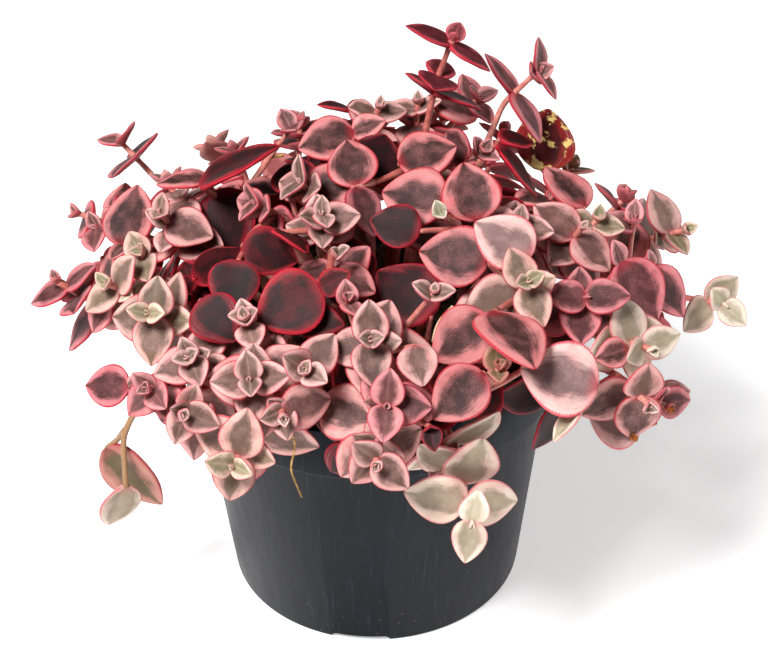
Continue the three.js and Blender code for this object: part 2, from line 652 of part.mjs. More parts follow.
// The middle surface of a leaf at t along it and s across it, from -1 to 1.
function leafPoint(leaf, t, s, lift = 0) {
  const across = s * leaf.halfWidth * outline(t);
  const up = leaf.bend * leaf.length * t * t + leaf.fold * Math.abs(across) + lift;
  const level = add(add(leaf.base, mul(leaf.ahead, leaf.length * t)), mul(leaf.across, across));
  return add(level, mul(leaf.normal, up));
}

// Whether a point comes within room of a leaf's faces and within edge of its outline.
function leafHolds(leaf, p, room, edge) {
  const from = sub(p, leaf.base);
  const t = dot(from, leaf.ahead) / leaf.length;
  if (t < -edge / leaf.length || t > 1 + edge / leaf.length) return false;
  const across = dot(from, leaf.across);
  const halfWidth = leaf.halfWidth * outline(limit(t, ...OUTLINE_ENDS)) + edge;
  if (Math.abs(across) > halfWidth) return false;
  const surface = leaf.bend * leaf.length * t * t + leaf.fold * Math.abs(across);
  return Math.abs(dot(from, leaf.normal) - surface) < room;
}

// Whether a leaf touches a point of a path, other than where it grows from its own plant's stem.
function leafTouches(leaf, p, path, room) {
  if (path.node === leaf.node && span(p, leaf.base) < BASE_ROOM) return false;
  return leafHolds(leaf, p, room + path.radius + STEM_ROOM, path.radius + STEM_ROOM);
}

function leafIsClear(leaf, plant) {
  const room = leaf.thickness * 0.5 + CLEARANCE;
  for (let i = 0; i < PROBES.length; i++) {
    if (PROBES[i][0] > POT_PROBES_FROM && !clearOfPot(leaf.probes[i], room)) return false;
  }
  for (const other of plant.leaves) {
    if (span(leaf.middle, other.middle) > leaf.ball + other.ball + NEAR_LEAF) continue;
    if (other.shoot === leaf.shoot) {
      if (other.rank === leaf.rank) continue;
      const near = (leaf.thickness + other.thickness) * KIN_SHARE;
      for (let i = 0; i < PROBES.length; i++) {
        if (PROBES[i][0] < KIN_PROBES_FROM) continue;
        if (leafHolds(other, leaf.probes[i], near, 0)) return false;
        if (leafHolds(leaf, other.probes[i], near, 0)) return false;
      }
      continue;
    }
    const apart = (leaf.thickness + other.thickness) * 0.5 + CLEARANCE;
    for (let i = 0; i < PROBES.length; i++) {
      if (leafHolds(other, leaf.probes[i], apart, EDGE_ROOM)) return false;
      if (leafHolds(leaf, other.probes[i], apart, EDGE_ROOM)) return false;
    }
  }
  for (const path of plant.paths) {
    if (path.shoot === leaf.shoot) continue;
    const ball = [leaf.ball, leaf.ball, leaf.ball];
    if (!boxesMeet(leaf.middle, ball, path.middle, path.half, NEAR_PATH)) continue;
    for (const p of path.points) {
      if (span(p, leaf.middle) >= leaf.ball + NEAR_PATH) continue;
      if (leafTouches(leaf, p, path, room)) return false;
    }
  }
  return true;
}

// A leaf's own shape: young ones are narrow and folded, grown ones broad and flat.
function leafShape(shoot, rank, full) {
  const young = limit((GROWN_LENGTH - full) / GROWING_SPAN, 0, 1);
  const width = between(LEAF_WIDTH, draw()) - YOUNG_NARROWING * young;
  const bend = YOUNG_RISE * young - GROWN_DROOP[0] - GROWN_DROOP[1] * (1 - young) * draw();
  const fold = between(LEAF_FOLD, draw()) + YOUNG_FOLD * young;
  const slant = limit(PITCH[0] + PITCH[1] * full, ...PITCH_RANGE) + (draw() - 0.5) * PITCH_SCATTER;
  const thickness = LEAF_THICKNESS[0] + LEAF_THICKNESS[1] * full;
  return { shoot, rank, full, width, bend, fold, pitch: radians(slant), thickness };
}

// A leaf takes the first turn, tilt and size that keep it clear of what has grown before it. By
// the tip it stands square to the way the shoot faces, and further down to the stem.
function seatLeaf(shape, path, back, turn, shifts, plant) {
  const { shoot, pitch } = shape;
  const { point, ahead: stemAhead } = along(path, path.length - back);
  const ahead = unit(mix(shoot.aim, stemAhead, limit(back / FACING_REACH, 0, 1)));
  const level = unit(sub(shoot.across, mul(ahead, dot(shoot.across, ahead))));
  const outward = turned(level, ahead, turn);
  for (const [scale, yaw, tilt] of shifts) {
    const length = shape.full * scale;
    if (length < SMALLEST_LEAF) return false;
    const azimuth = turned(outward, ahead, radians(yaw));
    const c = Math.cos(pitch + radians(tilt));
    const s = Math.sin(pitch + radians(tilt));
    const axis = add(mul(ahead, c), mul(azimuth, s));
    const normal = sub(mul(ahead, s), mul(azimuth, c));
    const across = cross(normal, axis);
    const leaf = { ...shape, node: path.node, base: point, ahead: axis, normal, across, length };
    leaf.halfWidth = length * shape.width * 0.5;
    leaf.probes = PROBES.map(([t, s]) => leafPoint(leaf, t, s));
    leaf.middle = leafPoint(leaf, 0.5, 0);
    leaf.ball = Math.max(...leaf.probes.map((p) => span(leaf.middle, p)));
    if (!leafIsClear(leaf, plant)) continue;
    plant.leaves.push(leaf);
    return true;
  }
  return false;
}

function internode(length) {
  return INTERNODE[0] + INTERNODE[1] * length * length;
}

function growPair(shoot, rank, plant) {
  let back = FIRST_BACK;
  for (let r = 0; r < rank; r++) {
    back += r < shoot.gaps.length ? shoot.gaps[r] : internode(Math.max(...shoot.pairs[r + 1]));
  }
  if (back > shoot.path.length - LOWEST_PAIR) return;
  const turn = (rank * Math.PI) / 2 + radians((draw() - 0.5) * TURN_SCATTER);
  for (const side of [0, 1]) {
    const length = shoot.pairs[rank][side];
    if (length === 0) continue;
    const shape = leafShape(shoot, rank, length);
    seatLeaf(shape, shoot.path, back, turn + side * Math.PI, LEAF_SHIFTS, plant);
  }
}

// A lone pair stands as far in as it must for its first leaf to be clear.
function growLone(shoot, plant) {
  const [length, otherLength] = shoot.pairs[0];
  const shape = leafShape(shoot, 0, length);
  const inward = heading(90, -FRONT_SLOPE);
  for (const shifts of [NEAR_SHIFTS, LEAF_SHIFTS]) {
    for (const depth of DEPTHS) {
      const branch = branchTo(add(shoot.tip, mul(inward, depth)), shoot.aim, plant);
      if (!branch || !seatLeaf(shape, branch, FIRST_BACK, 0, shifts, plant)) continue;
      keepPath(branch, shoot, plant);
      if (otherLength === 0) return;
      const other = leafShape(shoot, 0, otherLength);
      seatLeaf(other, branch, FIRST_BACK, Math.PI, LEAF_SHIFTS, plant);
      return;
    }
  }
}

// Pairs grow rank by rank over all the shoots, so that the youngest come first.
function growPairs(shoots, firstRank, lastRank, plant) {
  for (let rank = 0; rank < MOST_PAIRS; rank++) {
    for (const shoot of shoots) {
      if (!shoot.path || rank < firstRank(shoot) || rank >= lastRank(shoot)) continue;
      growPair(shoot, rank, plant);
    }
  }
}

function growPlant() {
  const shoots = STEMS.map((row) => listedShoot(row, true));
  shoots.push(...BRANCHES.map((row) => listedShoot(row, false)));
  fillShoots(shoots);
  shadeShoots(shoots);
  const stems = limitStems(shoots);
  const roots = placeRoots(stems);
  const plant = { paths: [], leaves: [], roots: [] };
  stems.forEach((shoot, i) => growStem(shoot, roots[i], plant));
  const crowns = shoots.filter((shoot) => shoot.listed && !shoot.lone);
  for (const shoot of crowns) if (!shoot.isStem) growBranch(shoot, plant);
  growPairs(crowns, () => 0, (shoot) => shoot.listed, plant);
  for (const shoot of shoots) if (shoot.lone) growLone(shoot, plant);
  growPairs(crowns, (shoot) => shoot.listed, (shoot) => shoot.pairs.length, plant);
  const others = shoots.filter((shoot) => !shoot.listed);
  for (const shoot of others) if (!shoot.isStem) growBranch(shoot, plant);
  growPairs(others, () => 0, (shoot) => shoot.pairs.length, plant);
  return plant;
}

// Solids for joining and cutting, and back to geometry.
function solidOf(geometry) {
  const bare = geometry.clone();
  bare.deleteAttribute("normal");
  bare.deleteAttribute("uv");
  const merged = mergeVertices(bare, 1e-4);
  return new wasm.Manifold(
    new wasm.Mesh({
      numProp: 3,
      vertProperties: new Float32Array(merged.getAttribute("position").array),
      triVerts: new Uint32Array(merged.index.array),
    }),
  );
}

function geometryOf(solid) {
  const mesh = solid.getMesh();
  const geometry = new THREE.BufferGeometry();
  geometry.setAttribute("position", new THREE.BufferAttribute(mesh.vertProperties, 3));
  geometry.setIndex(new THREE.BufferAttribute(mesh.triVerts, 1));
  geometry.computeVertexNormals();
  return geometry;
}

// Fused leaves can enclose a hollow, which is filled: only the outer skin is kept.
function joined(solids) {
  const shells = solids.reduce((whole, solid) => whole.add(solid)).decompose();
  return shells.reduce((largest, shell) => (shell.volume() > largest.volume() ? shell : largest));
}

// A solid turned about +Z from a profile of [radius, height] points.
function turnedSolid(profile, sides) {
  const points = profile.map(([radius, height]) => new THREE.Vector2(radius, height));
  return solidOf(new THREE.LatheGeometry(points, sides).rotateX(Math.PI / 2));
}

// An upright post with flat sides.
function postAt(x, y, bottom, top, radius, sides) {
  const post = new THREE.CylinderGeometry(radius, radius, top - bottom, sides);
  post.rotateX(Math.PI / 2).translate(x, y, (top + bottom) / 2);
  return solidOf(post);
}

function makePot() {
  const footInside = FOOT_RADIUS - FOOT_RING_WIDTH;
  const floorTop = FLOOR_RAISE + FLOOR_THICKNESS;
  const innerFoot = FOOT_RADIUS - WALL;
  const ledge = COLLAR_BOTTOM + WALL;
  const profile = [
    [0, 0],
    [HUB_RADIUS, 0],
    [HUB_RADIUS + FLOOR_BEVEL, FLOOR_RAISE],
    [footInside - FLOOR_BEVEL, FLOOR_RAISE],
    [footInside, 0],
    [FOOT_RADIUS, 0],
    [SHOULDER_RADIUS, COLLAR_BOTTOM],
    [COLLAR_RADIUS, COLLAR_BOTTOM],
    [COLLAR_RADIUS, POT_HEIGHT],
    [COLLAR_RADIUS - WALL, POT_HEIGHT],
    [COLLAR_RADIUS - WALL, ledge],
    [SHOULDER_RADIUS - WALL, ledge],
    [innerFoot, floorTop],
    [HUB_RADIUS + FLOOR_BEVEL, floorTop],
    [HUB_RADIUS, FLOOR_THICKNESS],
    [0, FLOOR_THICKNESS],
  ];
  let pot = turnedSolid(profile, POT_SIDES);
  for (let i = 0; i < DRAIN_HOLES; i++) {
    const azimuth = ((i + 0.5) / DRAIN_HOLES) * 2 * Math.PI;
    const x = DRAIN_CIRCLE * Math.cos(azimuth);
    const y = DRAIN_CIRCLE * Math.sin(azimuth);
    const bottom = -CUT_BEYOND;
    const top = floorTop + CUT_BEYOND;
    pot = pot.subtract(postAt(x, y, bottom, top, DRAIN_RADIUS, DRAIN_SIDES));
  }
  for (let i = 0; i < FOOT_NOTCHES; i++) {
    const half = NOTCH_WIDTH / 2;
    const notch = new THREE.Shape();
    notch.moveTo(-half, -CUT_BEYOND);
    notch.lineTo(half, -CUT_BEYOND);
    notch.lineTo(half - NOTCH_SLANT, NOTCH_HEIGHT);
    notch.lineTo(NOTCH_SLANT - half, NOTCH_HEIGHT);
    notch.closePath();
    const depth = NOTCH_DEPTH + CUT_BEYOND;
    const cutter = new THREE.ExtrudeGeometry(notch, { depth, bevelEnabled: false });
    cutter.rotateX(Math.PI / 2).translate(0, FOOT_RADIUS + CUT_BEYOND, 0);
    cutter.rotateZ(radians(NOTCH_AZIMUTH - 90 + (360 / FOOT_NOTCHES) * i));
    pot = pot.subtract(solidOf(cutter));
  }
  return geometryOf(pot);
}

// The soil fills the pot, a little below its rim, with a plain hole for each stem.
function makeSoil(roots) {
  const floorTop = FLOOR_RAISE + FLOOR_THICKNESS + TOUCH_GAP;
  const side = COLLAR_RADIUS - WALL - TOUCH_GAP;
  const ledge = COLLAR_BOTTOM + WALL + TOUCH_GAP;
  const profile = [
    [0, floorTop],
    [FOOT_RADIUS - WALL - TOUCH_GAP, floorTop],
    [SHOULDER_RADIUS - WALL - TOUCH_GAP, ledge],
    [side, ledge],
    [side, SOIL_TOP - SOIL_SHOULDER[1]],
    [side - SOIL_SHOULDER[0], SOIL_TOP],
    [0, SOIL_TOP],
  ];
  let soil = turnedSolid(profile, POT_SIDES / 2);
  for (const [x, y] of roots) {
    const bottom = SOIL_TOP - ROOT_DEPTH - TOUCH_GAP;
    soil = soil.subtract(postAt(x, y, bottom, SOIL_TOP + CUT_BEYOND, HOLE_RADIUS, HOLE_SIDES));
  }
  return geometryOf(soil);
}

class StemCurve extends THREE.Curve {
  constructor(joints) {
    super();
    this.joints = joints;
  }
  getUtoTmapping(u) {
    return u;
  }
  getPoint(t, target = new THREE.Vector3()) {
    const last = this.joints.length - 1;
    const i = Math.min(Math.floor(t * last), last - 1);
    return target.fromArray(mix(this.joints[i], this.joints[i + 1], t * last - i));
  }
}

function stemSolid(path) {
  const section = new THREE.Shape();
  for (let i = 0; i < STEM_SIDES; i++) {
    const angle = (i / STEM_SIDES) * 2 * Math.PI;
    const corner = path.radius * STEM_CORNER;
    if (i === 0) section.moveTo(corner, 0);
    else section.lineTo(corner * Math.cos(angle), corner * Math.sin(angle));
  }
  section.closePath();
  const extrudePath = new StemCurve(path.joints);
  const steps = path.joints.length - 1;
  return solidOf(new THREE.ExtrudeGeometry(section, { steps, bevelEnabled: false, extrudePath }));
}

// The smallest leaves, at a shoot's very tip, and the pair furthest down in the shade aren't solid.
function isSolid(leaf) {
  return leaf.length >= SMALLEST_SOLID && leaf.rank < SOLID_PAIRS;
}

// A leaf is a sphere of three sides drawn out: two edges and a keel, from a root sunk in the stem
// to the point. Its rings of vertices stand at the leaf's stations.
function leafSolid(leaf) {
  const stations = leaf.length < SHORT_LEAF ? SHORT_LEAF_STATIONS : LEAF_STATIONS;
  const geometry = new THREE.SphereGeometry(1, 3, stations.length + 1);
  const position = geometry.getAttribute("position");
  for (let i = 0; i < position.count; i++) {
    const y = position.getY(i);
    const z = position.getZ(i);
    let place;
    if (y > 0.9) place = add(leaf.base, mul(leaf.ahead, -LEAF_ROOT));
    else if (y < -0.9) place = leafPoint(leaf, 1, 0);
    else {
      const t = stations[y > -0.1 ? 0 : 1];
      const edgeHeight = Math.min(leaf.fold * leaf.halfWidth, leaf.thickness * HIGHEST_EDGE);
      const cup = leaf.fold * leaf.halfWidth * outline(t);
      if (Math.abs(z) < 0.1) place = leafPoint(leaf, t, 0, -leaf.thickness * 0.5);
      else place = leafPoint(leaf, t, -Math.sign(z), edgeHeight - cup);
    }
    position.setXYZ(i, ...place);
  }
  return solidOf(geometry);
}

const TINT_COLOURS = {
  lime: 0xa9a17c,
  pink: 0xb88483,
  rose: 0x9c5560,
  cream: 0xcfc6a4,
  crimson: 0x8a1f2c,
  old: 0x7d5a57,
  dark: 0x4a2429,
  pale: 0xc9a09f,
  scorched: 0x7a4a33,
  olive: 0x8a6a5c,
};

const root = new THREE.Group();
function addMesh(name, geometry, color, roughness) {
  const material = new THREE.MeshStandardMaterial({ color, roughness, metalness: 0 });
  const mesh = new THREE.Mesh(geometry, material);
  mesh.name = name;
  root.add(mesh);
}

const plant = growPlant();
addMesh("pot", makePot(), 0x22252b, 0.5);
addMesh("soil", makeSoil(plant.roots), 0x2b2019, 0.95);
for (let node = 0; node < plant.roots.length; node++) {
  const solids = plant.paths.filter((path) => path.node === node).map(stemSolid);
  const leaves = plant.leaves.filter((leaf) => leaf.node === node && isSolid(leaf));
  solids.push(...leaves.map(leafSolid));
  const stem = plant.paths.find((path) => path.node === node);
  const name = "stem_" + String(node + 1).padStart(2, "0");
  addMesh(name, geometryOf(joined(solids)), TINT_COLOURS[stem.shoot.tint], 0.5);
}

export default root;
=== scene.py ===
# A trailing crassula marginalis in a 12 cm plastic nursery pot. The plant grows by the same rules
# and the same seeded draws as its solids, and each leafy stem gets its fine leaves and bark here.
# Plain sizes are millimetres, and meshes are scaled to metres as they are made.
import itertools
import math
import random
from types import SimpleNamespace

import bpy
import numpy as np
from mathutils import Matrix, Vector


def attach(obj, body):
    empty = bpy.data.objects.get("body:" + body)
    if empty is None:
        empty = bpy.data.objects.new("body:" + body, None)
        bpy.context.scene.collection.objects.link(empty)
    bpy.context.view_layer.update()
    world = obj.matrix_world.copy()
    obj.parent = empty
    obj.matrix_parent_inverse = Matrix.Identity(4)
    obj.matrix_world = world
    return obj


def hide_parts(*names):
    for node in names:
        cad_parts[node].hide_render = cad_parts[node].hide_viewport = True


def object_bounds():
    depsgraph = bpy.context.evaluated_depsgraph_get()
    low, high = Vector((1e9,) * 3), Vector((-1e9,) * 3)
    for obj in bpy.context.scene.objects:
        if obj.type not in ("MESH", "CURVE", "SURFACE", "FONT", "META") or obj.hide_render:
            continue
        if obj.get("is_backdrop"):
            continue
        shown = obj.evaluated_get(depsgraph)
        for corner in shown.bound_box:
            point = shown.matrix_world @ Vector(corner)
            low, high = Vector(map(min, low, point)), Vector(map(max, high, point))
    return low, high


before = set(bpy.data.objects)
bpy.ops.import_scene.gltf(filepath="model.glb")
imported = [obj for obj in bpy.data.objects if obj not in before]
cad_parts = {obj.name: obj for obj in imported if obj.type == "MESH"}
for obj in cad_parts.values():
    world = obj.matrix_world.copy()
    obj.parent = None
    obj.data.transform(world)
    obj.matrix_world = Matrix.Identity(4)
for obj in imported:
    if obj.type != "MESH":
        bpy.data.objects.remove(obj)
cad_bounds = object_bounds()

MM = 0.001

# Driving sizes of the pot.
POT_HEIGHT = 94
COLLAR_RADIUS = 60
COLLAR_BOTTOM = 76
SHOULDER_RADIUS = 55.7
FOOT_RADIUS = 47.5
WALL = 1.4
FOOT_RING_WIDTH = 4
FLOOR_RAISE = 2.5
HUB_RADIUS = 16
FLOOR_THICKNESS = 1.5
DRAIN_HOLES = 8
DRAIN_RADIUS = 4
DRAIN_CIRCLE = 30
FOOT_NOTCHES = 4
NOTCH_HEIGHT = 1.8
NOTCH_WIDTH = 19
NOTCH_AZIMUTH = 263.4

# Driving sizes of the soil and the plant.
SOIL_TOP = 84
TOUCH_GAP = 0.3
STEM_RADIUS = 1.3
BRANCH_RADIUS = 1.05
ROOT_DEPTH = 7
ROOT_REACH = 50
ROOT_SPACING = 7.6
CANOPY_CENTRE = np.array([3.0, 0.0, 100.0])
CANOPY_REACH = np.array([94.0, 92.0, 42.0])
CLEARANCE = 0.38
POT_CLEARANCE = 1
PATH_CLEARANCE = 1
NEAR_PATH = 4
NEAR_LEAF = 1.5
ABOVE_HOLE = 3
MOST_STEMS = 56
FILL_SPACING = 18.5
SHADE_SPACING = 27
SHADE_DEPTH = 0.76
OLDER_LEAVES = (15.5, 18.5)
JOINT_SPACING = 16
PATH_STEP = 2.5
CURVE_STEPS = 24
GOLDEN_ANGLE = math.pi * (3 - math.sqrt(5))
SEED = 2711


# One shoot: its kind of colour, where its tip stands, (azimuth, elevation, spin) of the way the
# tip faces in degrees, the lengths of its leaves, pair by pair from the tip down, and the lengths
# of stem between the pairs where they are drawn out. A leaf of no length is missing.
def shoot(tint, tip, faces, *lengths, gaps=()):
    lengths += (0,) * (len(lengths) % 2)
    pairs = [list(pair) for pair in zip(lengths[::2], lengths[1::2])]
    return SimpleNamespace(tint=tint, tip=np.array(tip, float), faces=faces, pairs=pairs, gaps=gaps)


# The stems that the front shows.
STEMS = [
    shoot("lime", (-63, -43, 125), (262, 46, 0), 7.5, 7.5, 12, 14, 16.5, 11),
    shoot("pink", (-51, -59, 121), (266, 50, 20), 6, 6, 7.5, 10, 13, 7),
    shoot("rose", (-62, -65, 115), (243, 44, 60), 4.5, 4.5, 7.5, 10, 11.5, 12),
    shoot("pink", (-52, -74, 113), (289, 27, 60), 4, 4, 7, 11, 10.5, 9.5),
    shoot("lime", (-38, -85, 104), (268, 24, 345), 7.5, 9, 14, 13, 16.5, 11),
    shoot("pink", (-33, -72, 123), (270, 50, 95), 9, 7.5, 12, 11.5, 12.5, 11),
    shoot("pink", (-18, -72, 126), (270, 50, 50), 4.5, 4.5, 10, 9, 9, 13),
    shoot("pink", (-24, -81, 117), (278, 22, 95), 4, 4, 8, 15, 9.5, 7.5),
    shoot("pink", (0, -67, 132), (270, 45, 0), 6, 6, 12, 12.5, 13, 9.5),
    shoot("rose", (4, -82, 121), (270, 47, 85), 10.5, 11, 8, 12.5, 0, 13),
    shoot("pink", (1, -92, 109), (270, 23, 50), 4, 4, 9.5, 12, 11, 14.5, 9.5, 9.5),
    shoot("cream", (27, -86, 83), (272, 33, 80), 10.5, 12, 18, 15.5, 0, 17),
    shoot("pink", (-20, 1, 141), (201, 35, 115), 9, 9, 11.5, 11.5),
    shoot("pink", (-14, -19, 142), (296, 57, 80), 6.5, 8, 9, 12, 9.5, 10),
    shoot("rose", (-33, -7, 139), (207, 24, 110), 8, 8, 10.5, 10.5),
    shoot("pink", (-63, 3, 130), (262, 60, 80), 7, 7, 8, 15, 10.5, 15),
    shoot("lime", (44, -46, 136), (270, 45, 20), 6.5, 6.5, 12, 13, 17.5, 11.5),
    shoot("pink", (17, 15, 142), (270, 47, 0), 3.5, 3.5, 5.5, 5, 7, 10.5, 15.5, 8),
    shoot("pink", (3, 63, 132), (317, 63, 55), 4.5, 4.5, 11.5, 10.5, 15.5, 14.5),
    shoot("pink", (16, 71, 129), (272, 75, 265), 4.5, 4.5, 9.5, 11),
    shoot("lime", (-77, -23, 122), (232, 45, 150), 5.5, 5.5, 12, 13, 8, 8),
    shoot("rose", (-92, 26, 116), (198, 34, 135), 4.5, 4.5, 14, 11.5, 11.5, 15.5),
    shoot("rose", (-94, -11, 115), (195, 67, 175), 4.5, 3.5, 12.5, 12),
    shoot("rose", (-80, 51, 127), (165, 57, 265), 9, 10.5, 14.5, 14.5, gaps=(6,)),
    shoot("ruby", (26, 45, 165), (9, 64, 340), 7, 4, 15, 15, 14, 12, 16, 11, gaps=(1.5, 11, 5)),
    shoot("rose", (53, 48, 152), (346, 32, 60), 11, 11, 9, 7, 18, 16, gaps=(1.5, 9)),
    shoot("pink", (62, -15, 134), (286, 52, 35), 3.5, 3.5, 15.5, 14.5, 12, 9),
    shoot("lime", (98, 17, 112), (305, 40, 355), 5, 5, 15.5, 9.5, 9, 13),
    shoot("cream", (107, -8, 101), (285, 28, 125), 9, 10, 13, 12, gaps=(5,)),
    shoot("cream", (79, -50, 115), (295, 18, 90), 4, 4, 9.5, 12.5, 12.5, 14),
    shoot("pink", (78, -60, 103), (275, 6, 355), 4.5, 4.5, 12.5, 14.5, 16.5, 9.5),
    shoot("old", (31, -21, 141), (270, 52, 100), 18.5),
    shoot("old", (-5, 34, 139), (272, 66, 195), 18, 11),
    shoot("pink", (43, -20, 139), (283, 64, 70), 6, 6, 11.5, 11.5, 12.5, 12.5),
    shoot("pink", (-35, -53, 130), (259, 65, 110), 4.5, 4.5, 6.5, 6.5, 10.5, 8),
    shoot("rose", (61, -40, 126), (271, 55, 0), 13, 12, 11, 13),
    shoot("cream", (-76, -38, 57), (305, -5, 245), 16),
]

# Shoots and single leaves that branch from the nearest stem.
BRANCHES = [
    shoot("pale", (45, -35, 137), (275, 55, 150), 18.5),
    shoot("old", (33, -37, 137), (263, 49, 160), 20.5),
    shoot("old", (22, -11, 141), (262, 50, 170), 20),
    shoot("old", (32, -56, 131), (270, 45, 215), 19.5),
    shoot("old", (9, 9, 142), (272, 62, 15), 18),
    shoot("dark", (17, -54, 131), (250, 55, 150), 23.5),
    shoot("dark", (14, -22, 138), (262, 52, 170), 15),
    shoot("dark", (-48, -41, 128), (262, 48, 315), 15.5),
    shoot("rose", (-69, -56, 109), (232, 45, 200), 14.5, 10),
    shoot("pink", (-14, -81, 119), (270, 45, 355), 16.5, 9.5),
    shoot("pink", (12, -66, 129), (270, 47, 270), 13),
    shoot("scorched", (55, 42, 120), (285, 50, 70), 21.5),
    shoot("rose", (86, -46, 91), (302, 20, 75), 3.5, 3.5, 7.5, 11, 8, 8),
    shoot("pale", (62, -67, 115), (279, 45, 160), 22),
    shoot("cream", (57, -70, 109), (180, 36, 295), 11.5),
    shoot("cream", (20, -23, 144), (271, 55, 115), 5.5, 4.5),
    shoot("old", (36, 68, 126), (276, 78, 165), 18, 9.5),
    shoot("crimson", (-7, 72, 127), (86, 77, 30), 11.5, 7.5),
    shoot("old", (-17, -8, 142), (262, 58, 40), 16.5),
    shoot("crimson", (-14, -44, 133), (270, 50, 205), 20.5, 10),
    shoot("crimson", (-37, -21, 133), (270, 50, 345), 16.5),
    shoot("dark", (-46, 8, 136), (240, 42, 290), 22),
    shoot("dark", (-38, -26, 131), (270, 50, 260), 15.5),
    shoot("crimson", (-27, -18, 136), (19, 54, 235), 18.5),
    shoot("dark", (-5, -39, 131), (270, 50, 90), 19),
    shoot("old", (30, -72, 124), (270, 50, 220), 20),
    shoot("old", (33, -54, 131), (45, 75, 165), 24),
    shoot("rose", (47, -69, 126), (357, 55, 65), 20),
    shoot("crimson", (40, 30, 136), (9, 44, 235), 20),
    shoot("crimson", (41, 37, 134), (359, 81, 260), 20.5),
    shoot("old", (64, 0, 132), (328, 65, 80), 18.5, 10.5),
    shoot("old", (82, 5, 124), (276, 53, 250), 17),
    shoot("rose", (73, -22, 126), (297, 52, 285), 20, 8),
    shoot("rose", (83, -19, 122), (321, 57, 270), 17.5, 6.5),
    shoot("lime", (68, -4, 130), (283, 64, 75), 5, 4.5, 9, 10),
    shoot("rose", (80, 5, 123), (237, 78, 105), 7.5, 7, 10),
    shoot("pink", (-9, -32, 136), (272, 75, 355), 5.5, 4.5),
    shoot("rose", (-7, -50, 134), (299, 58, 350), 4, 4, 7.5, 8),
    shoot("pink", (18, -47, 134), (271, 65, 80), 3.5, 3.5, 8, 8),
    shoot("crimson", (-7, -64, 127), (334, 16, 240), 14.5),
    shoot("old", (-75, -1, 121), (237, 55, 95), 20, 8),
    shoot("old", (-82, 29, 113), (224, 64, 120), 13, 7),
    shoot("lime", (-67, -15, 128), (232, 45, 50), 5, 5, 9.5, 10.5),
    shoot("rose", (-86, 23, 113), (225, 46, 135), 6, 11, 9.5, 9.5),
    shoot("old", (-50, 17, 133), (84, 83, 0), 16),
    shoot("crimson", (-51, 11, 134), (164, 55, 125), 27),
    shoot("old", (-4, 0, 140), (259, 65, 110), 17),
    shoot("dark", (-1, 6, 138), (299, 58, 35), 20),
    shoot("dark", (-24, 4, 136), (219, 73, 130), 16),
    shoot("rose", (-5, -3, 141), (329, 44, 255), 15.5),
    shoot("rose", (35, 22, 139), (307, 49, 30), 5, 4.5, 6.5, 7.5),
    shoot("rose", (30, 14, 141), (200, 15, 165), 12.5),
    shoot("rose", (36, 73, 129), (340, 65, 315), 7.5, 7.5, 11.5, 11.5),
    shoot("dark", (-20, -50, 127), (271, 55, 350), 13, 10),
    shoot("olive", (35, -68, 123), (271, 65, 0), 4, 4, 9, 7.5),
    shoot("dark", (16, -83, 114), (270, 15, 280), 7, 4.5),
    shoot("pink", (-30, -76, 119), (280, 18, 275), 11.5, 9),
    shoot("rose", (-25, 50, 132), (203, 74, 180), 7.5, 10),
    shoot("old", (72, -51, 116), (262, 30, 210), 10, 9.5),
    shoot("pale", (77, -54, 89), (258, 32, 175), 15.5),
    shoot("pink", (85, -42, 92), (285, 35, 350), 10),
    shoot("rose", (-78, -24, 117), (227, 13, 260), 11.5, 10.5),
    shoot("olive", (-83, -26, 63), (242, -1, 325), 25),
]

# Rules for the shoots that aren't listed.
CANOPY_SKIRT = 1.45
FILL_TINTS = ("pink", "rose", "old", "pink", "lime", "rose")
FILL_TRIES = 150
FILL_LOWEST = 84
FILL_FRONT = -20
FILL_SCATTER = 7
FILL_SINK = 0.6
FILL_LEAVES = (11, 17)
FILL_PAIRS = (0.34, 0.62, 0.9, 1.1)
FILL_RISE = 0.55
FILL_SWAY = 0.7
SHADE_TINTS = ("dark", "crimson", "old")
SHADE_TRIES = 90
SHADE_LOWEST = 92
SHADE_LEAVES = (18, 21)
SHADE_PAIRS = (0.85, 1)
SHADE_GAP = 5
SHADE_RISE = 0.35

# Roots stand in the soil in the order of the tips above them.
ROOT_CIRCLE = 45
FARTHEST_TIP = 125
ROOT_CURVE = 0.8
ROOT_ROUNDS = 80

# How a stem rises, goes over the rim, comes to its tip and sways until it is clear.
ROOT_RISES = (2, 14)
REACH_OVER_RIM = 58
OVER_RIM_RADIUS = 52
OVER_RIM_RISE = 16
DROOP_FROM = 12
DROOP_SHARE = 0.25
LONGEST_RUN = 26
RUN_SHARE = 0.38
SWAYS = [(0, 0)] + [
    (reach * math.cos(math.radians(turn)), reach * math.sin(math.radians(turn)))
    for reach in (5, 9, 13, 18, 24, 30)
    for turn in (0, 180, 30, 150, 90, -90, -30, -150)
]

# Where a branch may leave its stem, what bending costs it, and how far it holds its direction.
BRANCH_REACH = 48
BRANCH_UNDER = 9
BEND_COST = 9
SPARE_END = 6
IN_POT = 2
MOST_STARTS = 60
LONGEST_HOLD = 8
HOLD_SHARE = 0.4

# Leaves: where they stand on the stem, how they spread, and their own shape, young and grown.
FIRST_BACK = 0.3
INTERNODE = (0.5, 0.019)
LOWEST_PAIR = 3
MOST_PAIRS = 6
FACING_REACH = 16
PITCH = (12, 5.2)
PITCH_RANGE = (25, 90)
PITCH_SCATTER = 10
TURN_SCATTER = 8
GROWN_LENGTH = 14
GROWING_SPAN = 9
LEAF_THICKNESS = (1.15, 0.05)
LEAF_WIDTH = (0.86, 1)
YOUNG_NARROWING = 0.08
YOUNG_RISE = 0.1
GROWN_DROOP = (0.02, 0.12)
LEAF_FOLD = (0.1, 0.18)
YOUNG_FOLD = 0.3
SMALLEST_LEAF = 3.2
STEM_ROOM = 0.3
BASE_ROOM = 5
EDGE_ROOM = 0.9


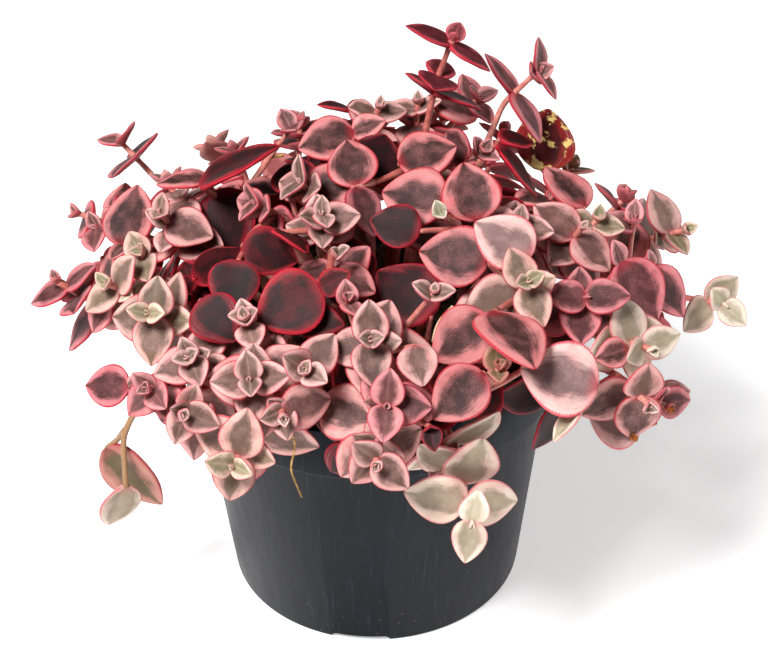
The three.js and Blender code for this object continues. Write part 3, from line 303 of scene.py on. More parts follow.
# How a leaf shrinks, turns and tilts until it is clear.
def leaf_shifts(scales, yaws, tilts):
    return [(scale, yaw, tilt) for scale in scales for yaw in yaws for tilt in tilts]


WIDE_YAWS = (0, 10, -10, 20, -20, 32, -32)
LEAF_SHIFTS = leaf_shifts((1, 0.9, 0.8, 0.7, 0.6), WIDE_YAWS, (0, -10, 10, -20, 18))
NEAR_SHIFTS = leaf_shifts((1, 0.92), (0, 10, -10), (0, -10, 10))

# A lone leaf may stand this far in from where it's listed, along the line that the front is
# seen by.
LONE_LENGTH = 9
FRONT_SLOPE = math.radians(35.4)
INWARD = np.array([0.0, math.cos(FRONT_SLOPE), -math.sin(FRONT_SLOPE)])
DEPTHS = (0, 2.5, -2.5, 5, 8, 12, 17)

# Where a leaf is tested: along it from 0 to 1, and across it from -1 to 1.
POT_PROBES_FROM = 0.3
KIN_PROBES_FROM = 0.5
KIN_SHARE = 0.25
PROBES = np.array(
    [(0.16, -0.9), (0.16, 0.9), (0.16, 0)]
    + [(0.34, s) for s in (-1, -0.5, 0, 0.5, 1)]
    + [(0.52, s) for s in (-1, -0.5, 0, 0.5, 1)]
    + [(0.7, s) for s in (-1, -0.4, 0.4, 1)]
    + [(0.86, -0.9), (0.86, 0.9), (0.86, 0), (1, 0)]
)
PROBE_T = PROBES[:, 0]
UP = np.array([0.0, 0.0, 1.0])


def cross(a, b):
    return np.array(
        [a[1] * b[2] - a[2] * b[1], a[2] * b[0] - a[0] * b[2], a[0] * b[1] - a[1] * b[0]]
    )


def size(a):
    return math.sqrt(a @ a)


def unit(a):
    return a * (1 / size(a))


def limit(value, low, high):
    return max(low, min(high, value))


def between(low, high, share):
    return low + (high - low) * share


def turned(v, axis, angle):
    c = math.cos(angle)
    return v * c + cross(axis, v) * math.sin(angle) + axis * ((axis @ v) * (1 - c))


def heading(azimuth, elevation):
    a = math.radians(azimuth)
    e = math.radians(elevation)
    return np.array([math.cos(e) * math.cos(a), math.cos(e) * math.sin(a), math.sin(e)])


# A level direction square to the given one.
def level_side(aim):
    side = cross(UP, aim)
    return np.array([1.0, 0.0, 0.0]) if size(side) < 0.001 else unit(side)


# Seeded random numbers from 0 to 1, the same as those that the solids grow by.
def random_from(seed):
    state = seed

    def draw():
        nonlocal state
        state = (state + 0x6D2B79F5) & 0xFFFFFFFF
        t = state
        t = ((t ^ (t >> 15)) * (t | 1)) & 0xFFFFFFFF
        t ^= (t + (t ^ (t >> 7)) * (t | 61)) & 0xFFFFFFFF
        return (t ^ (t >> 14)) / 4294967296

    return draw


draw = random_from(SEED)


# The canopy is half of a flat dome with a skirt below its widest line.
def canopy_point(k, count):
    height = 1 - ((k + 0.5) / count) * CANOPY_SKIRT
    radius = math.sqrt(max(0, 1 - height * height))
    azimuth = k * GOLDEN_ANGLE
    share = np.array([radius * math.cos(azimuth), radius * math.sin(azimuth), height])
    return CANOPY_CENTRE + CANOPY_REACH * share


def canopy_normal(p):
    return unit((p - CANOPY_CENTRE) / CANOPY_REACH**2)


def grown_shoot(tip, aim, spin, pairs, gaps, tint, is_stem, listed):
    across = turned(level_side(aim), aim, spin)
    return SimpleNamespace(
        tip=tip, aim=aim, across=across, pairs=pairs, gaps=gaps, tint=tint,
        is_stem=is_stem, listed=listed, path=None, node=None, marks=[],
        lone=listed and not is_stem and len(pairs) == 1 and max(pairs[0]) >= LONE_LENGTH,
        crown=len(pairs) if listed else 0,
    )


# Shoots: the listed ones, others by rule over the rest of the canopy, and shaded ones inside it.
def listed_shoot(row, is_stem):
    azimuth, elevation, spin = row.faces
    aim = heading(azimuth, elevation)
    pairs = row.pairs
    one = grown_shoot(row.tip, aim, math.radians(spin), pairs, row.gaps, row.tint, is_stem, True)
    if is_stem and len(pairs) > 1 and not row.gaps:
        one.pairs = pairs + [[length, length] for length in OLDER_LEAVES]
    return one


def even_pairs(shares, grown):
    return [[share * grown, share * grown] for share in shares]


def fill_shoots(shoots):
    for k in range(FILL_TRIES):
        rim = canopy_point(k, FILL_TRIES)
        tip = rim + canopy_normal(rim) * ((draw() - FILL_SINK) * FILL_SCATTER)
        spin = draw() * math.pi
        grown = between(*FILL_LEAVES, draw())
        tint = FILL_TINTS[int(draw() * len(FILL_TINTS))]
        sway = np.array([draw() - 0.5, draw() - 0.5, draw() - 0.5])
        if tip[2] < FILL_LOWEST or tip[1] < FILL_FRONT:
            continue
        if any(size(tip - other.tip) < FILL_SPACING for other in shoots):
            continue
        aim = unit(canopy_normal(tip) + UP * FILL_RISE + sway * FILL_SWAY)
        pairs = even_pairs(FILL_PAIRS, grown)
        shoots.append(grown_shoot(tip, aim, spin, pairs, (), tint, True, False))


def shade_shoots(shoots):
    placed = []
    for k in range(SHADE_TRIES):
        rim = canopy_point(k, SHADE_TRIES)
        tip = CANOPY_CENTRE + (rim - CANOPY_CENTRE) * SHADE_DEPTH
        spin = draw() * math.pi
        grown = between(*SHADE_LEAVES, draw())
        tint = SHADE_TINTS[int(draw() * len(SHADE_TINTS))]
        if tip[2] < SHADE_LOWEST:
            continue
        if any(size(tip - other) < SHADE_SPACING for other in placed):
            continue
        placed.append(tip)
        aim = unit(canopy_normal(tip) + UP * SHADE_RISE)
        pairs = even_pairs(SHADE_PAIRS, grown)
        shoots.append(grown_shoot(tip, aim, spin, pairs, (SHADE_GAP,), tint, False, False))


# Past the number of stems, the rule's shoots that stand closest to another become branches.
def limit_stems(shoots):
    stems = [shoot for shoot in shoots if shoot.is_stem]
    while len(stems) > MOST_STEMS:
        closest = math.inf
        chosen = None
        for one in stems:
            if one.listed:
                continue
            nearest = min(size(one.tip - other.tip) for other in stems if other is not one)
            if nearest < closest:
                closest = nearest
                chosen = one
        chosen.is_stem = False
        stems = [one for one in stems if one is not chosen]
    return stems


# Roots keep the order of the tips: their plan is drawn in to the soil and pushed apart.
def place_roots(stems):
    roots = []
    for one in stems:
        reach = math.hypot(one.tip[0], one.tip[1]) + 0.001
        radius = ROOT_CIRCLE * min(1, (reach / FARTHEST_TIP) ** ROOT_CURVE)
        roots.append([one.tip[0] / reach * radius, one.tip[1] / reach * radius])
    for _ in range(ROOT_ROUNDS):
        for i, a in enumerate(roots):
            for b in roots[:i]:
                dx = a[0] - b[0]
                dy = a[1] - b[1]
                apart = math.sqrt(dx * dx + dy * dy) + 1e-6
                if apart >= ROOT_SPACING:
                    continue
                push = ((ROOT_SPACING - apart) * 0.5) / apart
                a[0] += dx * push
                a[1] += dy * push
                b[0] -= dx * push
                b[1] -= dy * push
        for root in roots:
            reach = math.hypot(root[0], root[1])
            if reach > ROOT_REACH:
                root[0] *= ROOT_REACH / reach
                root[1] *= ROOT_REACH / reach
    return roots


# A stem's joints stand on a Bezier curve through its control points.
def bezier(controls, t):
    while len(controls) > 1:
        controls = [a * (1 - t) + b * t for a, b in zip(controls, controls[1:])]
    return controls[0]


def joints_on(controls):
    spots = [bezier(controls, i / CURVE_STEPS) for i in range(CURVE_STEPS + 1)]
    rough = sum(size(b - a) for a, b in zip(spots, spots[1:]))
    count = max(2, math.ceil(rough / JOINT_SPACING))
    return [bezier(controls, i / count) for i in range(count + 1)]


# A path runs straight from joint to joint, with a point every few millimetres.
def make_path(joints, radius):
    points = [joints[0]]
    marks = [0.0]
    for a, b in zip(joints, joints[1:]):
        length = size(b - a)
        count = math.ceil(length / PATH_STEP)
        for k in range(1, count + 1):
            points.append(a * (1 - k / count) + b * (k / count))
            marks.append(marks[-1] + length / count)
    points = np.array(points)
    low = points.min(0)
    high = points.max(0)
    return SimpleNamespace(
        joints=joints, radius=radius, points=points, marks=marks, length=marks[-1],
        middle=(low + high) * 0.5, half=(high - low) * 0.5, node=None, shoot=None,
    )


def along(path, mark):
    i = 0
    while i < len(path.marks) - 2 and path.marks[i + 1] < mark:
        i += 1
    t = (mark - path.marks[i]) / (path.marks[i + 1] - path.marks[i])
    a, b = path.points[i], path.points[i + 1]
    return a * (1 - t) + b * t, unit(b - a)


def clear_of_pot(points, room):
    reach = np.sqrt(points[..., 0] ** 2 + points[..., 1] ** 2)
    height = points[..., 2]
    slope = (SHOULDER_RADIUS - FOOT_RADIUS) / COLLAR_BOTTOM
    body = FOOT_RADIUS + slope * np.maximum(0, height)
    outside = np.where(height > COLLAR_BOTTOM, COLLAR_RADIUS, body)
    above = height > POT_HEIGHT + room
    within = (reach < COLLAR_RADIUS - WALL - room) & (height > SOIL_TOP + room)
    return above | (reach > outside + room) | within


def path_is_clear(path, node, paths, rooted):
    tested = path.points
    if rooted:
        tested = tested[np.array(path.marks) >= ROOT_DEPTH + ABOVE_HOLE]
    if not clear_of_pot(tested, path.radius + POT_CLEARANCE).all():
        return False
    for other in paths:
        if other.node == node:
            continue
        room = path.radius + other.radius + PATH_CLEARANCE
        if (np.abs(path.middle - other.middle) > path.half + other.half + room).any():
            continue
        gaps = path.points[:, None, :] - other.points[None, :, :]
        if ((gaps * gaps).sum(-1) < room * room).any():
            return False
    return True


def keep_path(path, shoot, plant):
    path.node = shoot.node
    path.shoot = shoot
    shoot.path = path
    plant.paths.append(path)
    plant.stack.add_path(path)


# A stem rises from its hole, clears the pot's rim and comes to its tip the way the tip faces.
# It sways to the first side that is clear of the pot and of the stems before it, and isn't grown
# where it finds none.
def grow_stem(shoot, root, plant):
    tip, aim = shoot.tip, shoot.aim
    reach = math.hypot(tip[0], tip[1])
    outward = unit(np.array([tip[0], tip[1], 0.001]))
    run = min(LONGEST_RUN, RUN_SHARE * size(tip - np.array([root[0], root[1], SOIL_TOP])))
    foot = np.array([root[0], root[1], SOIL_TOP - ROOT_DEPTH])
    for sideways, upward in SWAYS:
        sway = cross(UP, outward) * sideways + UP * upward
        controls = [np.array([root[0], root[1], SOIL_TOP + rise]) for rise in ROOT_RISES]
        if reach > REACH_OVER_RIM:
            droop = DROOP_SHARE * max(0, POT_HEIGHT + DROOP_FROM - tip[2])
            rise = POT_HEIGHT + OVER_RIM_RISE + droop
            controls.append(outward * OVER_RIM_RADIUS + UP * rise + sway)
        controls += [tip - aim * run + sway, tip]
        path = make_path([foot, *joints_on(controls)], STEM_RADIUS)
        if path_is_clear(path, shoot.node, plant.paths, True):
            keep_path(path, shoot, plant)
            return True
    return False


# A branch leaves the stem that it can reach with the least length and bending.
def branch_to(tip, aim, plant):
    under = tip - aim * BRANCH_UNDER
    starts = []
    for path in plant.paths:
        if (np.abs(under - path.middle) > path.half + BRANCH_REACH).any():
            continue
        last = len(path.points) - 1
        for i in range(1, last + 1):
            p = path.points[i]
            in_pot = p[2] < POT_HEIGHT - IN_POT and math.hypot(p[0], p[1]) < COLLAR_RADIUS
            if in_pot or path.length - path.marks[i] < SPARE_END:
                continue
            distance = size(p - under)
            if distance > BRANCH_REACH:
                continue
            ahead = unit(path.points[min(i + 1, last)] - path.points[i - 1])
            bending = 1 - ahead @ unit(tip - p)
            starts.append((distance + BEND_COST * bending, len(starts), path, p, ahead))
    starts.sort(key=lambda row: row[:2])
    for _, _, path, start, ahead in starts[:MOST_STARTS]:
        hold = min(LONGEST_HOLD, HOLD_SHARE * size(tip - start))
        for lead in (ahead, unit(ahead + aim)):
            controls = [start, start + lead * hold, tip - aim * hold, tip]
            branch = make_path(joints_on(controls), BRANCH_RADIUS)
            branch.node = path.node
            if not path_is_clear(branch, path.node, plant.paths, False):
                continue
            if path_clears_leaves(branch, plant.stack):
                return branch
    return None


def grow_branch(shoot, plant):
    branch = branch_to(shoot.tip, shoot.aim, plant)
    if branch:
        shoot.node = branch.node
        keep_path(branch, shoot, plant)


# A leaf's half width along its length, as a share of the widest: broad and drawn to a point.
BASE_POWER = 0.55
TIP_POWER = 0.85
WIDEST = BASE_POWER / (BASE_POWER + TIP_POWER)
OUTLINE_PEAK = WIDEST**BASE_POWER * (1 - WIDEST) ** TIP_POWER


def outline(t):
    t = np.clip(t, 0, 1)
    return t**BASE_POWER * (1 - t) ** TIP_POWER / OUTLINE_PEAK


def probe_points(leaf):
    t = PROBES[:, 0, None]
    across = PROBES[:, 1, None] * leaf.half_width * outline(t)
    up = leaf.bend * leaf.length * t * t + leaf.fold * np.abs(across)
    return leaf.base + leaf.ahead * (leaf.length * t) + leaf.across * across + leaf.normal * up


# Whether points come within room of a leaf's faces and within edge of its outline.
def leaf_holds(leaf, points, room, edge):
    start = points - leaf.base
    t = (start * leaf.ahead).sum(-1) / leaf.length
    side = np.abs((start * leaf.across).sum(-1))
    beside = side <= leaf.half_width * outline(np.clip(t, 0.04, 0.97)) + edge
    surface = leaf.bend * leaf.length * t * t + leaf.fold * side
    near = np.abs((start * leaf.normal).sum(-1) - surface) < room
    return beside & near & (t >= -edge / leaf.length) & (t <= 1 + edge / leaf.length)


# The grown leaves and paths, stacked so that one leaf is tested against all of them at once.
class Stack:
    VECTORS = ("base", "ahead", "across", "normal", "middle")
    NUMBERS = ("length", "half_width", "bend", "fold", "thickness", "ball", "rank", "node")

    def __init__(self, most=1500, most_points=6000):
        self.count = 0
        self.rows = {name: np.zeros((most, 3)) for name in self.VECTORS}
        self.rows.update({name: np.zeros(most) for name in self.NUMBERS})
        self.probes = np.zeros((most, len(PROBES), 3))
        self.owner = np.full(most, -1)
        self.point_count = 0
        self.points = np.zeros((most_points, 3))
        self.point_node = np.zeros(most_points)
        self.point_radius = np.zeros(most_points)
        self.point_owner = np.full(most_points, -1)

    def add(self, leaf):
        i = self.count
        for name in self.VECTORS + self.NUMBERS:
            self.rows[name][i] = getattr(leaf, name)
        self.probes[i] = leaf.probes
        self.owner[i] = id(leaf.shoot)
        self.count += 1

    def add_path(self, path):
        these = slice(self.point_count, self.point_count + len(path.points))
        self.points[these] = path.points
        self.point_node[these] = path.node
        self.point_radius[these] = path.radius
        self.point_owner[these] = id(path.shoot)
        self.point_count = these.stop

    def pick(self, chosen):
        picked = SimpleNamespace()
        for name in self.VECTORS + self.NUMBERS:
            rows = self.rows[name][chosen]
            setattr(picked, name, rows[:, None])
        return picked


def clear_of_leaves(leaf, stack):
    n = stack.count
    apart = np.sqrt(((stack.rows["middle"][:n] - leaf.middle) ** 2).sum(-1))
    near = np.flatnonzero(apart <= leaf.ball + stack.rows["ball"][:n] + NEAR_LEAF)
    own = stack.owner[near] == id(leaf.shoot)
    kin = near[own & (stack.rows["rank"][near] != leaf.rank)]
    if len(kin):
        others = stack.pick(kin)
        room = (leaf.thickness + others.thickness) * KIN_SHARE
        outer = PROBE_T > KIN_PROBES_FROM
        if leaf_holds(others, leaf.probes[None, outer], room, 0).any():
            return False
        if leaf_holds(leaf, stack.probes[kin][:, outer], room, 0).any():
            return False
    strangers = near[~own]
    if len(strangers):
        others = stack.pick(strangers)
        room = (leaf.thickness + others.thickness) * 0.5 + CLEARANCE
        if leaf_holds(others, leaf.probes[None], room, EDGE_ROOM).any():
            return False
        if leaf_holds(leaf, stack.probes[strangers], room, EDGE_ROOM).any():
            return False
    return True


def clear_of_paths(leaf, stack, room):
    n = stack.point_count
    points = stack.points[:n]
    far = np.sqrt(((points - leaf.middle) ** 2).sum(-1))
    tested = (far < leaf.ball + NEAR_PATH) & (stack.point_owner[:n] != id(leaf.shoot))
    points = points[tested]
    at_base = np.sqrt(((points - leaf.base) ** 2).sum(-1)) < BASE_ROOM
    reach = stack.point_radius[:n][tested] + STEM_ROOM
    held = leaf_holds(leaf, points, room + reach, reach)
    return not (held & ~((stack.point_node[:n][tested] == leaf.node) & at_base)).any()


def path_clears_leaves(path, stack):
    n = stack.count
    away = np.abs(stack.rows["middle"][:n] - path.middle)
    near = np.flatnonzero((away <= path.half + stack.rows["ball"][:n, None] + path.radius).all(-1))
    if len(near) == 0:
        return True
    others = stack.pick(near)
    reach = path.radius + STEM_ROOM
    held = leaf_holds(others, path.points[None], others.thickness * 0.5 + CLEARANCE + reach, reach)
    at_base = np.sqrt(((path.points[None] - others.base) ** 2).sum(-1)) < BASE_ROOM
    return not (held & ~((others.node == path.node) & at_base)).any()


def leaf_is_clear(leaf, stack):
    room = leaf.thickness * 0.5 + CLEARANCE
    if not clear_of_pot(leaf.probes[PROBE_T > POT_PROBES_FROM], room).all():
        return False
    return clear_of_leaves(leaf, stack) and clear_of_paths(leaf, stack, room)


# A leaf's own shape: young ones are narrow and folded, grown ones broad and flat.
def leaf_shape(shoot, rank, length):
    young = limit((GROWN_LENGTH - length) / GROWING_SPAN, 0, 1)
    width = between(*LEAF_WIDTH, draw()) - YOUNG_NARROWING * young
    bend = YOUNG_RISE * young - GROWN_DROOP[0] - GROWN_DROOP[1] * (1 - young) * draw()
    fold = between(*LEAF_FOLD, draw()) + YOUNG_FOLD * young
    pitch = limit(PITCH[0] + PITCH[1] * length, *PITCH_RANGE) + (draw() - 0.5) * PITCH_SCATTER
    return SimpleNamespace(
        thickness=LEAF_THICKNESS[0] + LEAF_THICKNESS[1] * length, bend=bend, fold=fold, shoot=shoot,
        rank=rank, full=length, width=width, pitch=math.radians(pitch),
    )


# A leaf takes the first turn, tilt and size that keep it clear of what has grown before it.
def seat_leaf(leaf, path, back, turn, shifts, plant):
    shoot = leaf.shoot
    leaf.node = path.node
    leaf.base, ahead = along(path, path.length - back)
    share = limit(back / FACING_REACH, 0, 1)
    ahead = unit(shoot.aim * (1 - share) + ahead * share)
    level = unit(shoot.across - ahead * (shoot.across @ ahead))
    outward = turned(level, ahead, turn)
    for scale, yaw, tilt in shifts:
        leaf.length = leaf.full * scale
        if leaf.length < SMALLEST_LEAF:
            return False
        azimuth = turned(outward, ahead, math.radians(yaw))
        c = math.cos(leaf.pitch + math.radians(tilt))
        s = math.sin(leaf.pitch + math.radians(tilt))
        leaf.ahead = ahead * c + azimuth * s
        leaf.normal = ahead * s - azimuth * c
        leaf.across = cross(leaf.normal, leaf.ahead)
        leaf.half_width = leaf.length * leaf.width * 0.5
        leaf.probes = probe_points(leaf)
        leaf.middle = leaf.base + leaf.ahead * (leaf.length * 0.5)
        leaf.middle = leaf.middle + leaf.normal * (leaf.bend * leaf.length * 0.25)
        leaf.ball = math.sqrt(((leaf.probes - leaf.middle) ** 2).sum(-1).max())
        if leaf_is_clear(leaf, plant.stack):
            plant.leaves.append(leaf)
            plant.stack.add(leaf)
            return True
    return False


def internode(length):
    return INTERNODE[0] + INTERNODE[1] * length * length


def grow_pair(shoot, rank, plant):
    back = FIRST_BACK
    for r in range(rank):
        back += shoot.gaps[r] if r < len(shoot.gaps) else internode(max(shoot.pairs[r + 1]))
    if back > shoot.path.length - LOWEST_PAIR:
        return
    shoot.marks.append(shoot.path.length - back)
    turn = rank * math.pi / 2 + math.radians((draw() - 0.5) * TURN_SCATTER)
    for side in (0, 1):
        length = shoot.pairs[rank][side]
        if length != 0:
            leaf = leaf_shape(shoot, rank, length)
            seat_leaf(leaf, shoot.path, back, turn + side * math.pi, LEAF_SHIFTS, plant)


# A lone pair stands as far in as it must for its first leaf to be clear.
def grow_lone(shoot, plant):
    first = leaf_shape(shoot, 0, shoot.pairs[0][0])
    for shifts in (NEAR_SHIFTS, LEAF_SHIFTS):
        for depth in DEPTHS:
            branch = branch_to(shoot.tip + INWARD * depth, shoot.aim, plant)
            if branch and seat_leaf(first, branch, FIRST_BACK, 0, shifts, plant):
                shoot.node = branch.node
                shoot.marks.append(branch.length - FIRST_BACK)
                keep_path(branch, shoot, plant)
                if shoot.pairs[0][1]:
                    second = leaf_shape(shoot, 0, shoot.pairs[0][1])
                    seat_leaf(second, branch, FIRST_BACK, math.pi, LEAF_SHIFTS, plant)
                return


def grow_pairs(shoots, first, last, plant):
    for rank in range(MOST_PAIRS):
        for one in shoots:
            if one.path and first(one) <= rank < last(one):
                grow_pair(one, rank, plant)


def grow_plant():
    shoots = [listed_shoot(row, True) for row in STEMS]
    shoots += [listed_shoot(row, False) for row in BRANCHES]
    fill_shoots(shoots)
    shade_shoots(shoots)
    stems = limit_stems(shoots)
    plant = SimpleNamespace(paths=[], leaves=[], roots=[], stack=Stack())
    for one, root in zip(stems, place_roots(stems)):
        one.node = len(plant.roots)
        if grow_stem(one, root, plant):
            plant.roots.append(root)
    crowns = [one for one in shoots if one.listed and not one.lone]
    for one in crowns:
        if not one.is_stem:
            grow_branch(one, plant)
    grow_pairs(crowns, lambda one: 0, lambda one: one.crown, plant)
    for one in shoots:
        if one.lone:
            grow_lone(one, plant)
    grow_pairs(crowns, lambda one: one.crown, lambda one: len(one.pairs), plant)
    others = [one for one in shoots if not one.listed]
    for one in others:
        if not one.is_stem:
            grow_branch(one, plant)
    grow_pairs(others, lambda one: 0, lambda one: len(one.pairs), plant)
    plant.shoots = [one for one in shoots if one.path]
    return plant


# The fine leaves. Each is one closed skin of rings, from a root sunk in the stem to its point.
GRAIN = random.Random(SEED)
BIG_LEAF = 12
# Rings along a leaf and points round each ring, for big leaves, small ones and buds.
BIG_RINGS = (15, 24)
SMALL_RINGS = (11, 20)
BUD_RINGS = (6, 10)
FIRST_RING = 0.004
RING_SPAN = 0.985
# A leaf's section is a rounded oblong: the higher the power, the flatter its faces.
SECTION_POWER = 2.5
TOP_SHARE = 0.42
LOPSIDED = 0.05
CREASE = (0.04, 0.14)
WAVE_HEIGHT = 0.012
WAVES = 1.4
FLESH = (1.05, 0.35)
POINT_FLESH = 2.4
POINT_POWER = 0.6
ROOT_SUNK = 0.4


# A random number from low up to low + span, and one within reach of 1 in all.
def drawn(low, span):
    return low + span * GRAIN.random()


def scattered(reach):
    return 1 + reach * (GRAIN.random() - 0.5)


def srgb(red, green, blue):
    def linear(value):
        share = value / 255
        return share / 12.92 if share <= 0.04045 else ((share + 0.055) / 1.055) ** 2.4

    return (linear(red), linear(green), linear(blue), 1.0)


# Colours of a leaf's centre, margin and very edge: as it opens, and full grown.
LEAF_COLOURS = {
    "lime": (
        (138, 138, 100), (220, 202, 178), (196, 92, 102),
        (106, 82, 72), (218, 174, 164), (180, 38, 62),
    ),
    "pink": (
        (124, 104, 88), (230, 196, 187), (194, 68, 88),
        (94, 64, 60), (220, 164, 158), (176, 24, 50),
    ),
    "rose": (
        (106, 70, 66), (216, 160, 157), (186, 38, 62),
        (76, 42, 43), (206, 122, 127), (166, 14, 40),
    ),
    "cream": (
        (172, 168, 138), (238, 230, 210), (220, 152, 146),
        (168, 152, 130), (234, 214, 196), (206, 104, 112),
    ),
    "crimson": (
        (58, 16, 18), (178, 34, 46), (204, 56, 70),
        (38, 12, 14), (150, 20, 34), (184, 34, 50),
    ),
    "ruby": (
        (120, 60, 62), (204, 120, 124), (190, 50, 66),
        (84, 26, 32), (178, 66, 80), (180, 32, 50),
    ),
    "dark": (
        (46, 21, 21), (122, 34, 44), (182, 36, 54),
        (32, 16, 17), (106, 24, 34), (172, 26, 44),
    ),
    "old": (
        (78, 53, 50), (212, 148, 145), (186, 26, 48),
        (62, 39, 37), (210, 132, 132), (178, 12, 36),
    ),
    "pale": (
        (146, 120, 114), (232, 200, 191), (200, 68, 88),
        (130, 102, 100), (228, 186, 180), (200, 46, 68),
    ),
    "olive": (
        (104, 94, 64), (200, 150, 130), (166, 60, 66),
        (92, 82, 56), (190, 132, 118), (160, 50, 60),
    ),
    "scorched": (
        (70, 12, 16), (132, 24, 30), (150, 60, 44),
        (58, 7, 11), (120, 18, 24), (150, 52, 36),
    ),
}
DARK_TINTS = ("crimson", "ruby", "dark")
DRY_COLOUR = srgb(222, 190, 120)
OPENING_LENGTH = 4
OPENING_SPAN = 11
SHADE_SCATTER = 0.12
CENTRE_SCATTER = 0.16
BORDER = 0.3
DARK_BORDER = 0.06
BORDER_SCATTER = 0.22


def blended(young, grown, share, shade):
    mixed = [a * (1 - share) + b * share for a, b in zip(young, grown)]
    return srgb(*[limit(value * shade, 0, 255) for value in mixed])


# A leaf's colours, and its traits: a number of its own, how wide its margin is, and its age.
def leaf_look(leaf):
    age = limit((leaf.length - OPENING_LENGTH) / OPENING_SPAN, 0, 1)
    tint = leaf.shoot.tint
    colours = LEAF_COLOURS[tint]
    shade = scattered(SHADE_SCATTER)
    border = DARK_BORDER if tint in DARK_TINTS else BORDER
    return SimpleNamespace(
        centre=blended(colours[0], colours[3], age, shade * scattered(CENTRE_SCATTER)),
        margin=blended(colours[1], colours[4], age, shade),
        rim=blended(colours[2], colours[5], age, shade),
        traits=(GRAIN.random(), drawn(border, BORDER_SCATTER), age),
    )


# Where the rings and their points stand, as arrays: t along, s across and lift from -1 to 1, with
# the root's and the tip's own points last, and the faces that join them.
def leaf_grid(rings, around):
    steps = np.arange(1, rings + 1) / (rings + 1)
    t = 0.5 * (1 - np.cos(np.pi * steps)) * RING_SPAN + FIRST_RING
    angle = 2 * np.pi * np.arange(around) / around
    power = 2 / SECTION_POWER
    s = np.sign(np.cos(angle)) * np.abs(np.cos(angle)) ** power
    lift = np.sign(np.sin(angle)) * np.abs(np.sin(angle)) ** power
    t, s = np.meshgrid(t, s, indexing="ij")
    lift = np.broadcast_to(lift, t.shape)
    return SimpleNamespace(
        t=np.append(t, [0.0, 1.0]), s=np.append(s, [0.0, 0.0]), lift=np.append(lift, [0.0, 0.0]),
        faces=tube_faces(rings, around),
    )


def leaf_skin(leaf, look, grid):
    seed, _, age = look.traits
    t, s, lift = grid.t, grid.s, grid.lift
    half_width = leaf.half_width * outline(np.clip(t, 0.02, 1))
    across = s * half_width * (1 + LOPSIDED * (seed - 0.5) * np.sign(s))
    crease = leaf.half_width * (CREASE[0] + CREASE[1] * age)
    cup = leaf.fold * (np.sqrt(across**2 + crease**2) - crease)
    wave = WAVE_HEIGHT * leaf.length * np.sin(2 * np.pi * (WAVES * t + seed)) * s * s
    flesh = leaf.thickness * (FLESH[0] - FLESH[1] * t)
    flesh = flesh * np.minimum(1, POINT_FLESH * (1 - t) ** POINT_POWER)
    face = np.where(lift > 0, TOP_SHARE, 1 - TOP_SHARE) * flesh * lift
    up = leaf.bend * leaf.length * t * t + cup + wave + face
    points = leaf.base - leaf.ahead * ROOT_SUNK
    points = points + np.outer((leaf.length + ROOT_SUNK) * t, leaf.ahead)
    points += np.outer(across, leaf.across) + np.outer(up, leaf.normal)
    return points, np.stack([t, s, lift], axis=1)


# A mesh under construction: points, what the materials read from them, and faces in two lists,
# of four corners and of three.
class Skin:
    COLOURS = ("centre", "margin", "rim")

    def __init__(self):
        self.points = []
        self.layers = {name: [] for name in ("place", "traits") + self.COLOURS}
        self.faces = ([], [])
        self.finishes = ([], [])
        self.count = 0

    def add(self, points, place, look, faces, finish):
        self.points.append(points)
        self.layers["place"].append(place)
        for name in ("traits",) + self.COLOURS:
            self.layers[name].append(np.tile(getattr(look, name), (len(points), 1)))
        for these, known, finishes in zip(faces, self.faces, self.finishes):
            known.append(these + self.count)
            finishes.append(np.full(len(these), finish))
        self.count += len(points)

    def build(self, name, materials):
        quads, tris = [np.concatenate(rows) for rows in self.faces]
        mesh = mesh_from(name, np.concatenate(self.points), quads, tris)
        finish = np.concatenate(self.finishes[0] + self.finishes[1])
        mesh.polygons.foreach_set("material_index", finish.astype(np.int32))
        for label, rows in self.layers.items():
            is_colour = label in self.COLOURS
            kind = "FLOAT_COLOR" if is_colour else "FLOAT_VECTOR"
            layer = mesh.attributes.new(label, kind, "POINT")
            values = np.concatenate(rows).astype(np.float32).ravel()
            layer.data.foreach_set("color" if is_colour else "vector", values)
        for material in materials[: finish.max() + 1]:
            mesh.materials.append(material)
        return placed(name, mesh)


def mesh_from(name, points, quads, tris=()):
    mesh = bpy.data.meshes.new(name)
    quads = np.asarray(quads, np.int32).reshape(-1, 4)
    tris = np.asarray(tris, np.int32).reshape(-1, 3)
    corners = np.concatenate([quads.ravel(), tris.ravel()])
    counts = np.concatenate([np.full(len(quads), 4), np.full(len(tris), 3)])
    starts = np.concatenate([[0], np.cumsum(counts)[:-1]])
    mesh.vertices.add(len(points))
    mesh.vertices.foreach_set("co", (np.asarray(points) * MM).astype(np.float32).ravel())
    mesh.loops.add(len(corners))
    mesh.loops.foreach_set("vertex_index", corners.astype(np.int32))
    mesh.polygons.add(len(counts))
    mesh.polygons.foreach_set("loop_start", starts.astype(np.int32))
    mesh.polygons.foreach_set("use_smooth", np.ones(len(counts), bool))
    mesh.update(calc_edges=True)
    mesh.validate()
    return mesh


def placed(name, data):
    made = bpy.data.objects.new(name, data)
    bpy.context.scene.collection.objects.link(made)
    return made


# Every piece is carried by the one body. Most stand for a solid, and the dry things for none.
def carried(piece, node=None):
    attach(piece, "root")
    if node:
        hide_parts(node)


# Stems: round tubes along the paths with their corners eased, thicker at each leaf pair.
TUBE_STEP = 1.4
TUBE_SIDES = 12
EASINGS = 5
ROOT_SWELL = 1.06
TIP_TAPER = 0.62
TAPER_POWER = 1.5
NODE_SWELL = 0.22
NODE_REACH = 1.6
WOBBLE = 0.04
WOBBLE_RATE = 0.9
WOBBLE_START = 7


